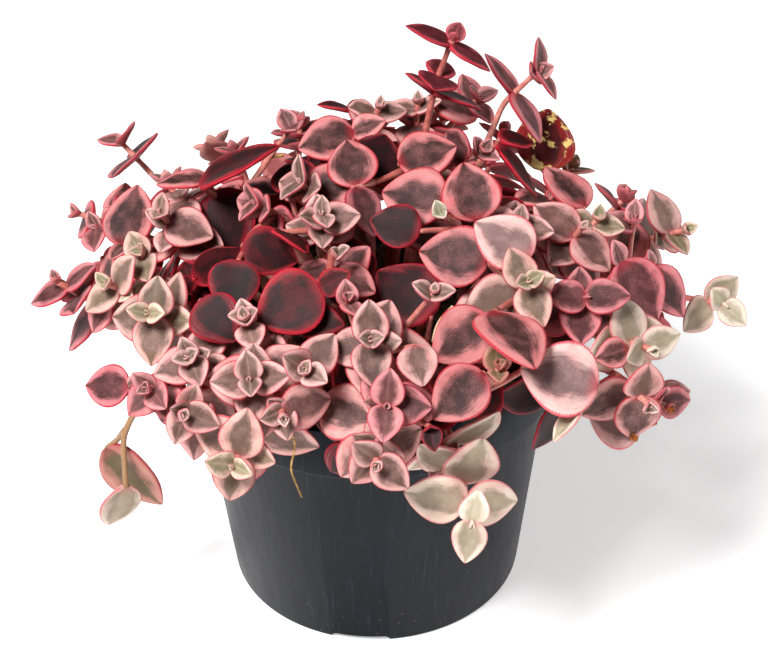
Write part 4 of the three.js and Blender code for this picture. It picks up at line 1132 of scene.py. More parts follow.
def eased(joints):
    rows = [joints[0]]
    for a, b in zip(joints, joints[1:]):
        count = max(1, round(size(b - a) / TUBE_STEP))
        rows += [a + (b - a) * (k / count) for k in range(1, count + 1)]
    rows = np.array(rows)
    for _ in range(EASINGS):
        rows[1:-1] = rows[1:-1] * 0.5 + (rows[:-2] + rows[2:]) * 0.25
    return rows


def tube(points, radii, sides):
    ahead = np.gradient(points, axis=0)
    ahead /= np.linalg.norm(ahead, axis=1)[:, None]
    side = level_side(ahead[0])
    angle = 2 * np.pi * np.arange(sides) / sides
    rings = []
    for p, along_it, radius in zip(points, ahead, radii):
        side = unit(side - along_it * (side @ along_it))
        over = cross(along_it, side)
        rings.append(p + radius * (np.outer(np.cos(angle), side) + np.outer(np.sin(angle), over)))
    return np.concatenate(rings + [points[:1], points[-1:]])


# The faces that join rings of points, and close both ends on the two points that follow them.
def tube_faces(rings, sides):
    near = np.repeat(np.arange(rings - 1), sides) * sides
    k = np.arange(sides)
    after = (k + 1) % sides
    each, other = near + np.tile(k, rings - 1), near + np.tile(after, rings - 1)
    quads = np.stack([each, other, other + sides, each + sides], 1)
    root = rings * sides
    last = root - sides
    caps = np.stack([np.full(sides, root), after, k], 1)
    ends = np.stack([np.full(sides, root + 1), last + k, last + after], 1)
    return quads, np.concatenate([caps, ends])


STEM_COLOURS = {
    "centre": (srgb(214, 132, 118), srgb(176, 84, 78)),
    "margin": (srgb(232, 168, 150), srgb(196, 108, 96)),
    "rim": (srgb(204, 92, 88), srgb(128, 52, 50)),
}
STEM_AGE = (0.3, 0.3)
SHADED_AGE = 0.4
# The stem that hangs lowest has gone tan.
HANGING_BELOW = 70
STEM_TAN = srgb(158, 120, 84)
SHADED_TINTS = DARK_TINTS + ("old", "scorched")


def stem_look(shoot):
    grown = drawn(*STEM_AGE) + SHADED_AGE * (shoot.tint in SHADED_TINTS)
    colours = {
        name: tuple(a * (1 - grown) + b * grown for a, b in zip(young, old))
        for name, (young, old) in STEM_COLOURS.items()
    }
    if shoot.tip[2] < HANGING_BELOW:
        colours = {name: STEM_TAN for name in STEM_COLOURS}
    return SimpleNamespace(traits=(GRAIN.random(), 0.5, grown), **colours)


# A stem's points are placed by millimetres along it and by the share of its length.
def add_stem(skin, shoot):
    path = shoot.path
    points = eased(path.joints)
    steps = np.linalg.norm(np.diff(points, axis=0), axis=1)
    marks = np.concatenate([[0], np.cumsum(steps)])
    share = marks / marks[-1]
    radii = path.radius * (ROOT_SWELL - (ROOT_SWELL - TIP_TAPER) * share**TAPER_POWER)
    for mark in shoot.marks:
        radii *= 1 + NODE_SWELL * np.exp(-(((marks - mark) / NODE_REACH) ** 2))
    radii *= 1 + WOBBLE * np.sin(marks * WOBBLE_RATE + WOBBLE_START * GRAIN.random())
    rings = tube(points, radii, TUBE_SIDES)
    place = np.zeros((len(rings), 3))
    place[:-2, 0] = np.repeat(marks, TUBE_SIDES)
    place[:-2, 2] = np.repeat(share, TUBE_SIDES)
    place[-2:] = [(0, 0, 0), (marks[-1], 0, 1)]
    skin.add(rings, place, stem_look(shoot), tube_faces(len(points), TUBE_SIDES), 1)


# The next pair of leaves stands closed at each shoot's tip. Pairs of numbers are for drawn.
BUD_LENGTH = 3.0
BUD_SCATTER = (0.8, 0.4)
BUD_PITCH = (16, 10)
BUD_SUNK = 0.6
BUD_HALF_WIDTH = 0.36
BUD_SHAPE = {"bend": 0.12, "fold": 0.45, "thickness": 0.9}


def bud_leaves(shoot):
    tip, ahead = along(shoot.path, shoot.path.length)
    level = unit(shoot.across - ahead * (shoot.across @ ahead))
    for side in (0, 1):
        outward = turned(level, ahead, -math.pi / 2 + side * math.pi)
        pitch = math.radians(drawn(*BUD_PITCH))
        bud = SimpleNamespace(base=tip - ahead * BUD_SUNK, shoot=shoot, **BUD_SHAPE)
        bud.ahead = ahead * math.cos(pitch) + outward * math.sin(pitch)
        bud.normal = ahead * math.sin(pitch) - outward * math.cos(pitch)
        bud.across = cross(bud.normal, bud.ahead)
        bud.length = BUD_LENGTH * drawn(*BUD_SCATTER)
        bud.half_width = bud.length * BUD_HALF_WIDTH
        yield bud


# The finishes are 0 leaf, 1 stem and 2 scorched leaf. A bud's form and colours are drawn apart.
def make_stem(node, plant, grids, finishes):
    skin = Skin()
    for one in plant.shoots:
        if one.node != node:
            continue
        add_stem(skin, one)
        if one.pairs[0][1] and len(one.pairs) > 1:
            for bud in bud_leaves(one):
                points, place = leaf_skin(bud, leaf_look(bud), grids["bud"])
                skin.add(points, place, leaf_look(bud), grids["bud"].faces, 0)
    for leaf in plant.leaves:
        if leaf.node == node:
            grid = grids["big" if leaf.length > BIG_LEAF else "small"]
            leaf.look = leaf_look(leaf)
            finish = 2 if leaf.shoot.tint == "scorched" else 0
            skin.add(*leaf_skin(leaf, leaf.look, grid), leaf.look, grid.faces, finish)
    name = f"stem_{node + 1:02d}"
    carried(skin.build("leafy_" + name, finishes), name)


# A material's nodes, in the order in which they are laid.
class Paint:
    def __init__(self, name):
        self.material = bpy.data.materials.new(name)
        self.material.use_nodes = True
        self.tree = self.material.node_tree
        self.shader = self.tree.nodes["Principled BSDF"]

    def node(self, kind, inputs, **settings):
        made = self.tree.nodes.new("ShaderNode" + kind)
        for name, value in settings.items():
            setattr(made, name, value)
        for key, value in inputs.items():
            self.plug(made.inputs[key], value)
        return made

    def plug(self, socket, value):
        if isinstance(value, bpy.types.NodeSocket):
            self.tree.links.new(value, socket)
        elif value is not None:
            socket.default_value = value

    def attribute(self, name, output):
        return self.node("Attribute", {}, attribute_name=name).outputs[output]

    def split(self, vector):
        return self.node("SeparateXYZ", {0: vector}).outputs

    def join(self, x, y, z):
        return self.node("CombineXYZ", {0: x, 1: y, 2: z}).outputs[0]

    def sum(self, operation, a, b=None, c=None):
        return self.node("Math", {0: a, 1: b, 2: c}, operation=operation).outputs[0]

    def times(self, a, b):
        return self.sum("MULTIPLY", a, b)

    def added(self, value, mask, share):
        return self.sum("MULTIPLY_ADD", mask, share, value)

    # A value pushed up and down by a noise, which runs from 0 to 1.
    def pushed(self, value, noise, reach):
        return self.added(value, self.sum("SUBTRACT", noise, 0.5), reach)

    def smooth(self, value, low, high):
        inputs = {"Value": value, "From Min": low, "From Max": high}
        return self.node("MapRange", inputs, interpolation_type="SMOOTHSTEP").outputs[0]

    def between(self, value, low, high):
        return self.node("MapRange", {"Value": value, "To Min": low, "To Max": high}).outputs[0]

    def mix(self, share, a, b):
        return self.node("Mix", {0: share, 6: a, 7: b}, data_type="RGBA").outputs[2]

    # A colour drawn towards another, by a share of a mask.
    def toward(self, colour, other, mask, share):
        return self.mix(self.times(mask, share), colour, other)

    def noise(self, vector, scale, detail=2.0, roughness=0.5):
        inputs = {"Vector": vector, "Scale": scale, "Detail": detail, "Roughness": roughness}
        return self.node("TexNoise", inputs).outputs[0]

    def cells(self, vector, scale):
        return self.node("TexVoronoi", {"Vector": vector, "Scale": scale}).outputs["Distance"]

    def scaled(self, vector, factors):
        return self.node("VectorMath", {0: vector, 1: factors}, operation="MULTIPLY").outputs[0]

    def set(self, **sockets):
        for name, value in sockets.items():
            self.plug(self.shader.inputs[name.replace("_", " ")], value)

    def bump(self, height, strength, distance):
        inputs = {"Height": height, "Strength": strength, "Distance": distance}
        self.plug(self.shader.inputs["Normal"], self.node("Bump", inputs).outputs[0])


def millimetres(paint):
    place = paint.node("TexCoord", {}).outputs["Object"]
    return paint.scaled(place, (1000, 1000, 1000))


# How far the leaf's margin wavers, runs in, frays to dust and spreads at tip and foot, as shares
# of its half width. Pairs are from a leaf just opened to a full grown one.
BORDER_WAVER = 0.75
BORDER_STREAKS = 0.5
BORDER_DUST = 0.34
TIP_MARGIN = 0.4
FOOT_MARGIN = 0.25
BORDER_SOFTNESS = (0.36, 0.22)
# How strongly each marking shows.
CLOUDS = 0.16
DEEP_BAND = 0.45
# The pale middle of a leaf is a painted sheen.
MIDLINE_SHEEN = (0.45, -0.1)
FLECKS = (0.2, 0.5)
BLUSH = 0.34
RED_STREAKS = 0.22
CHALK = 0.25
RED_FOOT = 0.5
RED_LINE = 0.85
BEADS_ALONG = 140
BEADS = (0.0, 0.6)
DEEP_COLOUR = srgb(40, 20, 22)
CHALK_COLOUR = srgb(240, 226, 214)


def leaf_material(name, dry=False):
    paint = Paint(name)
    t, s, lift = paint.split(paint.attribute("place", "Vector"))
    seed, border, age = paint.split(paint.attribute("traits", "Vector"))
    centre, margin, rim = [paint.attribute(layer, "Color") for layer in Skin.COLOURS]
    spot = millimetres(paint)
    edge = paint.sum("ABSOLUTE", s)
    shift = paint.times(seed, 60)

    def stretched(across, along_it):
        return paint.join(paint.times(s, across), paint.times(t, along_it), shift)

    # The border between centre and margin wavers, runs out in streaks and frays into dust.
    slow = paint.noise(stretched(1.3, 2.2), 1.5)
    streaks = paint.noise(stretched(9, 1.3), 1.7, 4, 0.6)
    dusted = paint.noise(spot, 3.6, 2, 0.7)
    streaked = paint.pushed(paint.pushed(edge, slow, BORDER_WAVER), streaks, BORDER_STREAKS)
    reach = paint.pushed(streaked, dusted, BORDER_DUST)
    reach = paint.added(reach, paint.smooth(t, 0.6, 1.0), TIP_MARGIN)
    reach = paint.added(reach, paint.smooth(t, 0.14, 0.0), FOOT_MARGIN)
    softness = paint.between(age, *BORDER_SOFTNESS)
    inner = paint.sum("SUBTRACT", paint.sum("SUBTRACT", 1, border), softness)
    outer = paint.sum("ADD", paint.sum("SUBTRACT", 1, border), softness)
    in_margin = paint.smooth(reach, inner, outer)

    # The centre is clouded, deepest in an uneven band, paler down its middle and flecked.
    grain = paint.noise(spot, 3.2, 3)
    clouds = paint.noise(spot, 0.24, 2)
    centre = paint.toward(centre, margin, paint.smooth(clouds, 0.35, 0.75), CLOUDS)
    deepened = paint.mix(0.6, centre, DEEP_COLOUR)
    centre = paint.toward(centre, deepened, paint.smooth(streaked, 0.1, 0.6), DEEP_BAND)
    # A painted sheen: young leaves are paler down the middle, and grown ones a touch darker there.
    midline_sheen = paint.smooth(paint.pushed(edge, streaks, 0.1), 0.14, 0.0)
    centre = paint.toward(centre, margin, midline_sheen, paint.between(age, *MIDLINE_SHEEN))
    flecks = paint.smooth(paint.cells(spot, 2.4), 0.4, 0.16)
    flecks = paint.times(flecks, paint.smooth(clouds, 0.3, 0.6))
    flecked = paint.mix(0.6, centre, margin)
    centre = paint.toward(centre, flecked, flecks, paint.between(age, *FLECKS))

    # The margin blushes and is streaked with red and with chalk.
    blush = paint.noise(spot, 0.14, 3)
    margin = paint.toward(margin, rim, paint.smooth(blush, 0.42, 0.7), BLUSH)
    margin = paint.toward(margin, rim, paint.smooth(streaks, 0.5, 0.7), RED_STREAKS)
    chalky = paint.mix(0.6, margin, CHALK_COLOUR)
    margin = paint.toward(margin, chalky, paint.smooth(streaks, 0.5, 0.3), CHALK)
    top = paint.mix(in_margin, centre, margin)

    # The leaf reddens at its foot, along its thin edge and in the beads that stand on it.
    colour = paint.toward(top, rim, paint.smooth(t, 0.2, 0.0), RED_FOOT)
    line = paint.smooth(paint.pushed(edge, dusted, 0.12), 0.89, 0.975)
    line = paint.sum("MAXIMUM", line, paint.smooth(t, 0.95, 1.0))
    colour = paint.toward(colour, rim, line, RED_LINE)
    beads = paint.smooth(paint.sum("SINE", paint.times(t, BEADS_ALONG)), 0.5, 0.95)
    beads = paint.times(beads, paint.smooth(edge, 0.88, 0.92))
    beads = paint.times(beads, paint.smooth(edge, 0.98, 0.94))
    colour = paint.toward(colour, rim, beads, paint.between(age, *BEADS))

    # The underside is evener and rosier.
    under = paint.mix(0.6, top, paint.mix(0.65, margin, rim))
    colour = paint.mix(paint.smooth(lift, -0.05, -0.5), colour, under)
    if dry:
        patches = paint.noise(paint.scaled(spot, (1, 1, 0.5)), 0.22, 3, 0.6)
        colour = paint.mix(paint.smooth(patches, 0.54, 0.6), colour, DRY_COLOUR)

    ribs = paint.noise(stretched(16, 1.2), 1.2)
    paint.set(Base_Color=colour, Roughness=paint.between(grain, 0.4, 0.62))
    paint.set(Subsurface_Weight=0.08, Subsurface_Radius=(1.0, 0.3, 0.25), Subsurface_Scale=0.001)
    paint.set(Specular_IOR_Level=0.16, Sheen_Weight=0.0)
    paint.bump(paint.added(grain, ribs, 0.6), 0.35, 0.0003)
    return paint.material


# Bark: mottled and streaked, brown towards the root, with fine rings round it.
BARK_COLOUR = srgb(112, 78, 62)
BARK = 0.75
BARK_STREAKS = 0.6
BARK_RINGS = 0.25
RINGS_ALONG = 2.1


def stem_material():
    paint = Paint("crassula_stem")
    run, _, share = paint.split(paint.attribute("place", "Vector"))
    centre, margin, rim = [paint.attribute(layer, "Color") for layer in Skin.COLOURS]
    spot = millimetres(paint)
    mottle = paint.noise(spot, 0.5, 3)
    colour = paint.mix(paint.smooth(mottle, 0.35, 0.7), centre, margin)
    streaks = paint.noise(paint.scaled(spot, (1.6, 1.6, 0.25)), 1.4, 3)
    colour = paint.toward(colour, rim, paint.smooth(streaks, 0.5, 0.72), BARK_STREAKS)
    bark = paint.times(paint.smooth(share, 0.42, 0.0), paint.smooth(mottle, 0.3, 0.6))
    colour = paint.toward(colour, BARK_COLOUR, bark, BARK)
    rings = paint.smooth(paint.sum("SINE", paint.times(run, RINGS_ALONG)), 0.86, 1.0)
    colour = paint.toward(colour, rim, rings, BARK_RINGS)
    paint.set(Base_Color=colour, Roughness=paint.between(mottle, 0.42, 0.6), Subsurface_Weight=0.08)
    paint.set(Subsurface_Radius=(1.0, 0.4, 0.3), Subsurface_Scale=0.001)
    paint.bump(paint.added(mottle, streaks, 0.6), 0.3, 0.0003)
    return paint.material


# The pot: a profile turned about +Z with its corners eased by some tenths of a millimetre, with
# notches and holes cut out.
POT_SEGMENTS = 144
CORNER = 0.5
FOOT_CORNER = 0.9
RING_SLOPE = 1.5
LEDGE_SLOPE = 1.0
SHARP_ANGLE = math.radians(38)
NOTCH_SLANT = 1.6
NOTCH_CORNER = (0.4, 0.7)
NOTCH_DEPTHS = (FOOT_RADIUS - 10, FOOT_RADIUS + 4)
CUT_BEYOND = 1
DRAIN_SIDES = 24


def arc(centre, radius, start, end, steps=4):
    rows = []
    for k in range(steps + 1):
        a = math.radians(start + (end - start) * k / steps)
        rows.append((centre[0] + radius * math.cos(a), centre[1] + radius * math.sin(a)))
    return rows


def pot_profile():
    ring = FOOT_RADIUS - FOOT_RING_WIDTH
    top = FLOOR_RAISE + FLOOR_THICKNESS
    ledge = COLLAR_BOTTOM + WALL
    rim = WALL / 2
    collar = COLLAR_RADIUS - WALL
    foot = FOOT_RADIUS - WALL
    rows = [(0, 0), (HUB_RADIUS - 0.6, 0), (HUB_RADIUS + 0.2, 0.4)]
    rows += [(HUB_RADIUS + RING_SLOPE, FLOOR_RAISE), (ring - RING_SLOPE, FLOOR_RAISE)]
    rows += [(ring - 0.2, 0.4), (ring + 0.5, 0)]
    rows += arc((FOOT_RADIUS - FOOT_CORNER, FOOT_CORNER), FOOT_CORNER, -90, -6)
    rows += [(SHOULDER_RADIUS - 0.1, COLLAR_BOTTOM - 1.2)]
    rows += [(SHOULDER_RADIUS + 0.3, COLLAR_BOTTOM - 0.3)]
    rows += arc((collar, COLLAR_BOTTOM + CORNER), CORNER, -90, -8)
    rows += [(COLLAR_RADIUS - 0.7, COLLAR_BOTTOM + 1.0)]
    rows += arc((COLLAR_RADIUS - rim, POT_HEIGHT - rim), rim, 0, 180, 8)
    rows += [(collar - 0.5, ledge + 0.4), (collar - LEDGE_SLOPE, ledge)]
    rows += [(SHOULDER_RADIUS - WALL, ledge - 0.3), (foot, top + 0.6), (foot - 0.6, top)]
    rows += [(HUB_RADIUS + RING_SLOPE, top), (HUB_RADIUS, FLOOR_THICKNESS), (0, FLOOR_THICKNESS)]
    return rows


def turned_mesh(name, profile, segments):
    inner = np.array([row for row in profile if row[0] > 0])
    angle = 2 * np.pi * np.arange(segments) / segments
    radius, height = inner[:, 0], np.repeat(inner[:, 1, None], segments, 1)
    spots = [np.outer(radius, np.cos(angle)), np.outer(radius, np.sin(angle)), height]
    points = np.stack(spots, axis=-1).reshape(-1, 3)
    ends = [(0, 0, profile[0][1]), (0, 0, profile[-1][1])]
    return mesh_from(name, np.concatenate([points, ends]), *tube_faces(len(inner), segments))


# A prism between two outlines with as many points.
def add_prism(points, faces, near, far):
    start, count = len(points), len(near)
    points += near + far
    for k in range(count):
        after = (k + 1) % count
        faces.append([start + k, start + after, start + count + after, start + count + k])
    faces.append([start + k for k in reversed(range(count))])
    faces.append([start + count + k for k in range(count)])


def notch_outline():
    half, high = NOTCH_WIDTH / 2, NOTCH_HEIGHT
    inset, drop = NOTCH_CORNER
    wide, narrow = half - inset, half - NOTCH_SLANT
    roof = [(-wide, high - drop), (-narrow, high), (narrow, high), (wide, high - drop)]
    return roof + [(half, -CUT_BEYOND), (-half, -CUT_BEYOND)]


def cutter_mesh(name):
    points, faces = [], []
    for i in range(FOOT_NOTCHES):
        turn = math.radians(NOTCH_AZIMUTH - 90 + 360 / FOOT_NOTCHES * i)
        c, s = math.cos(turn), math.sin(turn)
        sections = [
            [(x * c - depth * s, x * s + depth * c, z) for x, z in notch_outline()]
            for depth in NOTCH_DEPTHS
        ]
        add_prism(points, faces, *sections)
    for i in range(DRAIN_HOLES):
        azimuth = (i + 0.5) / DRAIN_HOLES * 2 * math.pi
        centre = (DRAIN_CIRCLE * math.cos(azimuth), DRAIN_CIRCLE * math.sin(azimuth))
        circle = arc(centre, DRAIN_RADIUS, 0, 360, DRAIN_SIDES)[:-1]
        heights = (-CUT_BEYOND, FLOOR_RAISE + FLOOR_THICKNESS + CUT_BEYOND)
        add_prism(points, faces, *[[(x, y, z) for x, y in circle] for z in heights])
    mesh = bpy.data.meshes.new(name)
    mesh.from_pydata([tuple(MM * value for value in p) for p in points], [], faces)
    return mesh


def make_pot():
    pot = placed("nursery_pot", turned_mesh("nursery_pot", pot_profile(), POT_SEGMENTS))
    cutter = placed("pot_cutter", cutter_mesh("pot_cutter"))
    cut = pot.modifiers.new("cut", "BOOLEAN")
    cut.operation = "DIFFERENCE"
    cut.solver = "EXACT"
    cut.object = cutter
    shown = pot.evaluated_get(bpy.context.evaluated_depsgraph_get())
    mesh = bpy.data.meshes.new_from_object(shown)
    pot.modifiers.clear()
    pot.data = mesh
    bpy.data.objects.remove(cutter)
    mesh.polygons.foreach_set("use_smooth", np.ones(len(mesh.polygons), bool))
    mesh.set_sharp_from_angle(angle=SHARP_ANGLE)
    mesh.materials.clear()
    mesh.materials.append(pot_material())
    carried(pot, "pot")


# Dark moulded plastic, scuffed in fine upright streaks and dusty near the foot.
def pot_material():
    paint = Paint("nursery_pot_plastic")
    spot = millimetres(paint)
    x, y, z = paint.split(spot)
    turn = paint.sum("ARCTAN2", y, x)
    around = paint.join(paint.times(turn, 50), paint.times(z, 0.05), 0)
    streaks = paint.noise(around, 0.9, 4, 0.65)
    scuffs = paint.noise(paint.scaled(spot, (0.4, 0.4, 0.06)), 1.0, 4, 0.65)
    cloud = paint.noise(spot, 0.035, 3)
    worn = paint.times(paint.smooth(streaks, 0.48, 0.72), paint.smooth(scuffs, 0.4, 0.66))
    colour = paint.mix(paint.smooth(cloud, 0.3, 0.7), srgb(6, 8, 14), srgb(12, 14, 22))
    colour = paint.toward(colour, srgb(50, 55, 68), worn, 0.5)
    dust = paint.smooth(paint.cells(spot, 0.42), 0.1, 0.05)
    dust = paint.times(dust, paint.smooth(z, 34, 4))
    colour = paint.toward(colour, srgb(150, 124, 96), dust, 0.8)
    grain = paint.noise(spot, 2.4, 2)
    paint.set(Base_Color=colour, Roughness=paint.between(scuffs, 0.3, 0.5))
    paint.set(Specular_IOR_Level=0.11, Specular_Tint=(0.82, 0.88, 1.0, 1.0))
    paint.bump(paint.added(grain, worn, -0.8), 0.25, 0.00015)
    return paint.material


# The soil: a crumbly heap a little below the rim, with loose crumbs and pale grit on it. Each
# swell of it has a scale, a height and a shift of its noise.
SOIL_RINGS = 44
SOIL_SECTORS = 132
SOIL_SWELLS = ((0.12, 2.2, (9, 3)), (0.45, 1.7, (0, 0)), (1.1, 1.0, (0, 0)))
SOIL_SINK = 0.6
EDGE_SINK = 1.2
NOISE_CELLS = 64
CRUMBS = 900
CRUMB_SWELLS = SOIL_SWELLS[:2]
CRUMB_SINK = 0.3
CRUMB_MARGIN = 2
SMALLEST_CRUMB = 0.5
CRUMB_SPAN = 1.3
CRUMB_STRETCH = (0.7, 0.6)
CRUMB_LUMPS = (0.75, 0.5)
# No side of a face is longer, on a ball of twenty faces.
LONGEST_SIDE = 1.1


def value_noise(x, y, grid):
    x, y = np.asarray(x, float), np.asarray(y, float)
    i, j = np.floor(x).astype(int), np.floor(y).astype(int)
    u, v = x - i, y - j
    u, v = u * u * (3 - 2 * u), v * v * (3 - 2 * v)
    n = len(grid)
    a, b = grid[i % n, j % n], grid[(i + 1) % n, j % n]
    c, d = grid[i % n, (j + 1) % n], grid[(i + 1) % n, (j + 1) % n]
    return a * (1 - u) * (1 - v) + b * u * (1 - v) + c * (1 - u) * v + d * u * v - 0.5


def crumb(centre, radius, shapes):
    points, faces = shapes
    stretch = np.array([drawn(*CRUMB_STRETCH) for _ in range(3)])
    lumps = np.array([drawn(*CRUMB_LUMPS) for _ in range(len(points))])
    return centre + points * lumps[:, None] * stretch * radius, faces


def ball_shape():
    golden = (1 + math.sqrt(5)) / 2
    rows = []
    for a in (-1, 1):
        for b in (-golden, golden):
            rows += [(0, a, b), (a, b, 0), (b, 0, a)]
    points = np.array(rows) / math.hypot(1, golden)
    faces = []
    for i, j, k in itertools.combinations(range(len(points)), 3):
        sides = [size(points[a] - points[b]) for a, b in ((i, j), (j, k), (k, i))]
        if max(sides) < LONGEST_SIDE:
            out = cross(points[j] - points[i], points[k] - points[i]) @ points[i] > 0
            faces.append((i, j, k) if out else (i, k, j))
    return points, np.array(faces)


def heap(x, y, grid, swells):
    return sum(
        height * value_noise(x * scale + shift[0], y * scale + shift[1], grid)
        for scale, height, shift in swells
    )


def make_soil():
    side = COLLAR_RADIUS - WALL - TOUCH_GAP
    floor_top = FLOOR_RAISE + FLOOR_THICKNESS + TOUCH_GAP
    grid = np.random.RandomState(SEED).rand(NOISE_CELLS, NOISE_CELLS)
    angle = 2 * np.pi * np.arange(SOIL_SECTORS) / SOIL_SECTORS
    rows = []
    for k in range(1, SOIL_RINGS + 1):
        radius = side * k / SOIL_RINGS
        x, y = radius * np.cos(angle), radius * np.sin(angle)
        top = SOIL_TOP - SOIL_SINK - EDGE_SINK * (k == SOIL_RINGS)
        rows.append(np.stack([x, y, top + heap(x, y, grid, SOIL_SWELLS)], 1))
    foot = FOOT_RADIUS - WALL - TOUCH_GAP - 0.3
    ledge = COLLAR_BOTTOM + WALL + TOUCH_GAP
    shoulder = SHOULDER_RADIUS - WALL - TOUCH_GAP
    for radius, height in ((side, ledge), (shoulder, ledge), (foot, floor_top)):
        level = np.full(SOIL_SECTORS, height)
        rows.append(np.stack([radius * np.cos(angle), radius * np.sin(angle), level], 1))
    ends = [(0, 0, SOIL_TOP - SOIL_SINK), (0, 0, floor_top)]
    quads, caps = [faces[:, ::-1] for faces in tube_faces(len(rows), SOIL_SECTORS)]
    points, tris = [np.concatenate(rows + [ends])], [caps]
    count = len(points[0])
    ball = ball_shape()
    for _ in range(CRUMBS):
        radius = (side - CRUMB_MARGIN) * math.sqrt(GRAIN.random())
        a = 2 * math.pi * GRAIN.random()
        x, y = radius * math.cos(a), radius * math.sin(a)
        centre = np.array([x, y, SOIL_TOP - CRUMB_SINK + heap(x, y, grid, CRUMB_SWELLS)])
        lump, faces = crumb(centre, SMALLEST_CRUMB + CRUMB_SPAN * GRAIN.random() ** 2, ball)
        points.append(lump)
        tris.append(faces + count)
        count += len(lump)
    mesh = mesh_from("potting_soil", np.concatenate(points), quads, np.concatenate(tris))
    mesh.materials.append(soil_material())
    carried(placed("potting_soil", mesh), "soil")


def soil_material():
    paint = Paint("potting_soil")
    spot = millimetres(paint)
    lumps = paint.noise(spot, 0.35, 4, 0.6)
    grit = paint.noise(spot, 2.2, 3, 0.6)
    colour = paint.mix(paint.smooth(lumps, 0.35, 0.68), srgb(38, 27, 20), srgb(78, 58, 43))
    colour = paint.mix(paint.smooth(grit, 0.6, 0.75), colour, srgb(128, 104, 82))
    pale = paint.smooth(paint.cells(spot, 0.16), 0.12, 0.07)
    colour = paint.toward(colour, srgb(214, 205, 190), pale, 0.9)
    paint.set(Base_Color=colour, Roughness=paint.between(grit, 0.8, 0.98), Specular_IOR_Level=0.2)
    paint.bump(paint.added(lumps, grit, 0.5), 0.6, 0.0008)
    return paint.material


# Dry things that the plant carries: strands that start inside a stem, the torn edge of an old
# leaf, flowers dried at the tips of low leaves and one leaf that has folded up.
STRAND_SIDES = 8
STRANDS = {
    "aerial_root": (
        (0.4, 0.24),
        (-24, -78.5, 115), (-22.5, -77, 109), (-21, -76, 103.5), (-23.3, -75, 94), (-20.5, -73, 82),
    ),
    "dry_stalk": ((0.7, 0.5), (-37, 49, 121.6), (-32, 49, 122), (-27.9, 49.5, 122.4)),
    "golden_twig": (
        (0.45, 0.25),
        (50, -32, 111.5), (52.6, -34.5, 113.5), (56, -36.5, 114.6), (60.1, -38, 113.9),
    ),
}
TORN_LEAF = (32, -56, 131)
TORN_SIDE = -1
TORN_FROM = 0.3
TORN_TO = 0.86
TORN_RADII = (0.34, 0.3)
FLOWER_PLACES = ((84, -54, 82), (76, -66, 92), (92, -50, 88))
FLOWER_CRUMBS = 9
FLOWER_SPREAD = 2.2
FLOWER_BACK = 1.2
FLOWER_LIFT = 0.3
FLOWER_SIZE = (0.5, 0.4)
FOLDED_BASE = (22.5, -64.0, 94.8)
FOLDED_AHEAD = (-6.0, -7.5, -6.5)
FOLDED_FACING = (262, 30)
FOLDED_SHAPE = {"length": 13, "half_width": 3.4, "bend": -0.1, "fold": 0.85, "thickness": 0.8}
FOLDED_TRAITS = (0.4, 0.35, 0.6)


def dry_material(name, light, dark):
    paint = Paint(name)
    spot = millimetres(paint)
    grain = paint.noise(spot, 4, 2)
    colour = paint.mix(paint.smooth(paint.noise(spot, 0.6, 3), 0.35, 0.65), light, dark)
    paint.set(Base_Color=colour, Roughness=paint.between(grain, 0.55, 0.8), Specular_IOR_Level=0.2)
    paint.bump(grain, 0.3, 0.0002)
    return paint.material


def dry_piece(name, mesh, material):
    mesh.materials.append(material)
    carried(placed(name, mesh))


def make_strand(name, rows, radii, material):
    rings = tube(rows, np.linspace(*radii, len(rows)), STRAND_SIDES)
    dry_piece(name, mesh_from(name, rings, *tube_faces(len(rows), STRAND_SIDES)), material)


def make_torn_edge(plant, grid, material):
    leaf = next(one for one in plant.leaves if tuple(one.shoot.tip) == TORN_LEAF)
    points, place = leaf_skin(leaf, leaf.look, grid)
    torn = (place[:, 1] * TORN_SIDE > 0.999) & (place[:, 0] > TORN_FROM) & (place[:, 0] < TORN_TO)
    make_strand("torn_edge", eased(points[torn]), TORN_RADII, material)


def make_flowers(plant, material):
    ball = ball_shape()
    points, faces = [], []
    for place in np.array(FLOWER_PLACES):
        leaf = min(plant.leaves, key=lambda one: size(one.base + one.ahead * one.length - place))
        centre = leaf.base + leaf.ahead * (leaf.length - FLOWER_BACK) + leaf.normal * FLOWER_LIFT
        for _ in range(FLOWER_CRUMBS):
            shift = np.array([GRAIN.random() - 0.5 for _ in range(3)]) * FLOWER_SPREAD
            lump, tris = crumb(centre + shift, drawn(*FLOWER_SIZE), ball)
            faces.append(tris + sum(len(rows) for rows in points))
            points.append(lump)
    mesh = mesh_from("dried_flowers", np.concatenate(points), [], np.concatenate(faces))
    dry_piece("dried_flowers", mesh, material)


def make_folded_leaf(grid, material):
    leaf = SimpleNamespace(base=np.array(FOLDED_BASE), **FOLDED_SHAPE)
    leaf.ahead = unit(np.array(FOLDED_AHEAD))
    facing = heading(*FOLDED_FACING)
    leaf.normal = unit(facing - leaf.ahead * (facing @ leaf.ahead))
    leaf.across = cross(leaf.normal, leaf.ahead)
    look = SimpleNamespace(
        centre=srgb(140, 100, 102), margin=srgb(184, 144, 142), rim=srgb(168, 84, 94),
        traits=FOLDED_TRAITS,
    )
    skin = Skin()
    skin.add(*leaf_skin(leaf, look, grid), look, grid.faces, 0)
    carried(skin.build("folded_leaf", [material]))


def make_dry_things(plant, grids, leaf_finish):
    straw = dry_material("straw", srgb(206, 170, 104), srgb(150, 110, 60))
    for name, (radii, *joints) in STRANDS.items():
        make_strand(name, eased(np.array(joints, float)), radii, straw)
    torn_skin = dry_material("torn_skin", srgb(228, 204, 164), srgb(176, 132, 98))
    make_torn_edge(plant, grids["big"], torn_skin)
    make_flowers(plant, dry_material("dried_petals", srgb(180, 104, 48), srgb(112, 58, 30)))
    make_folded_leaf(grids["small"], leaf_finish)


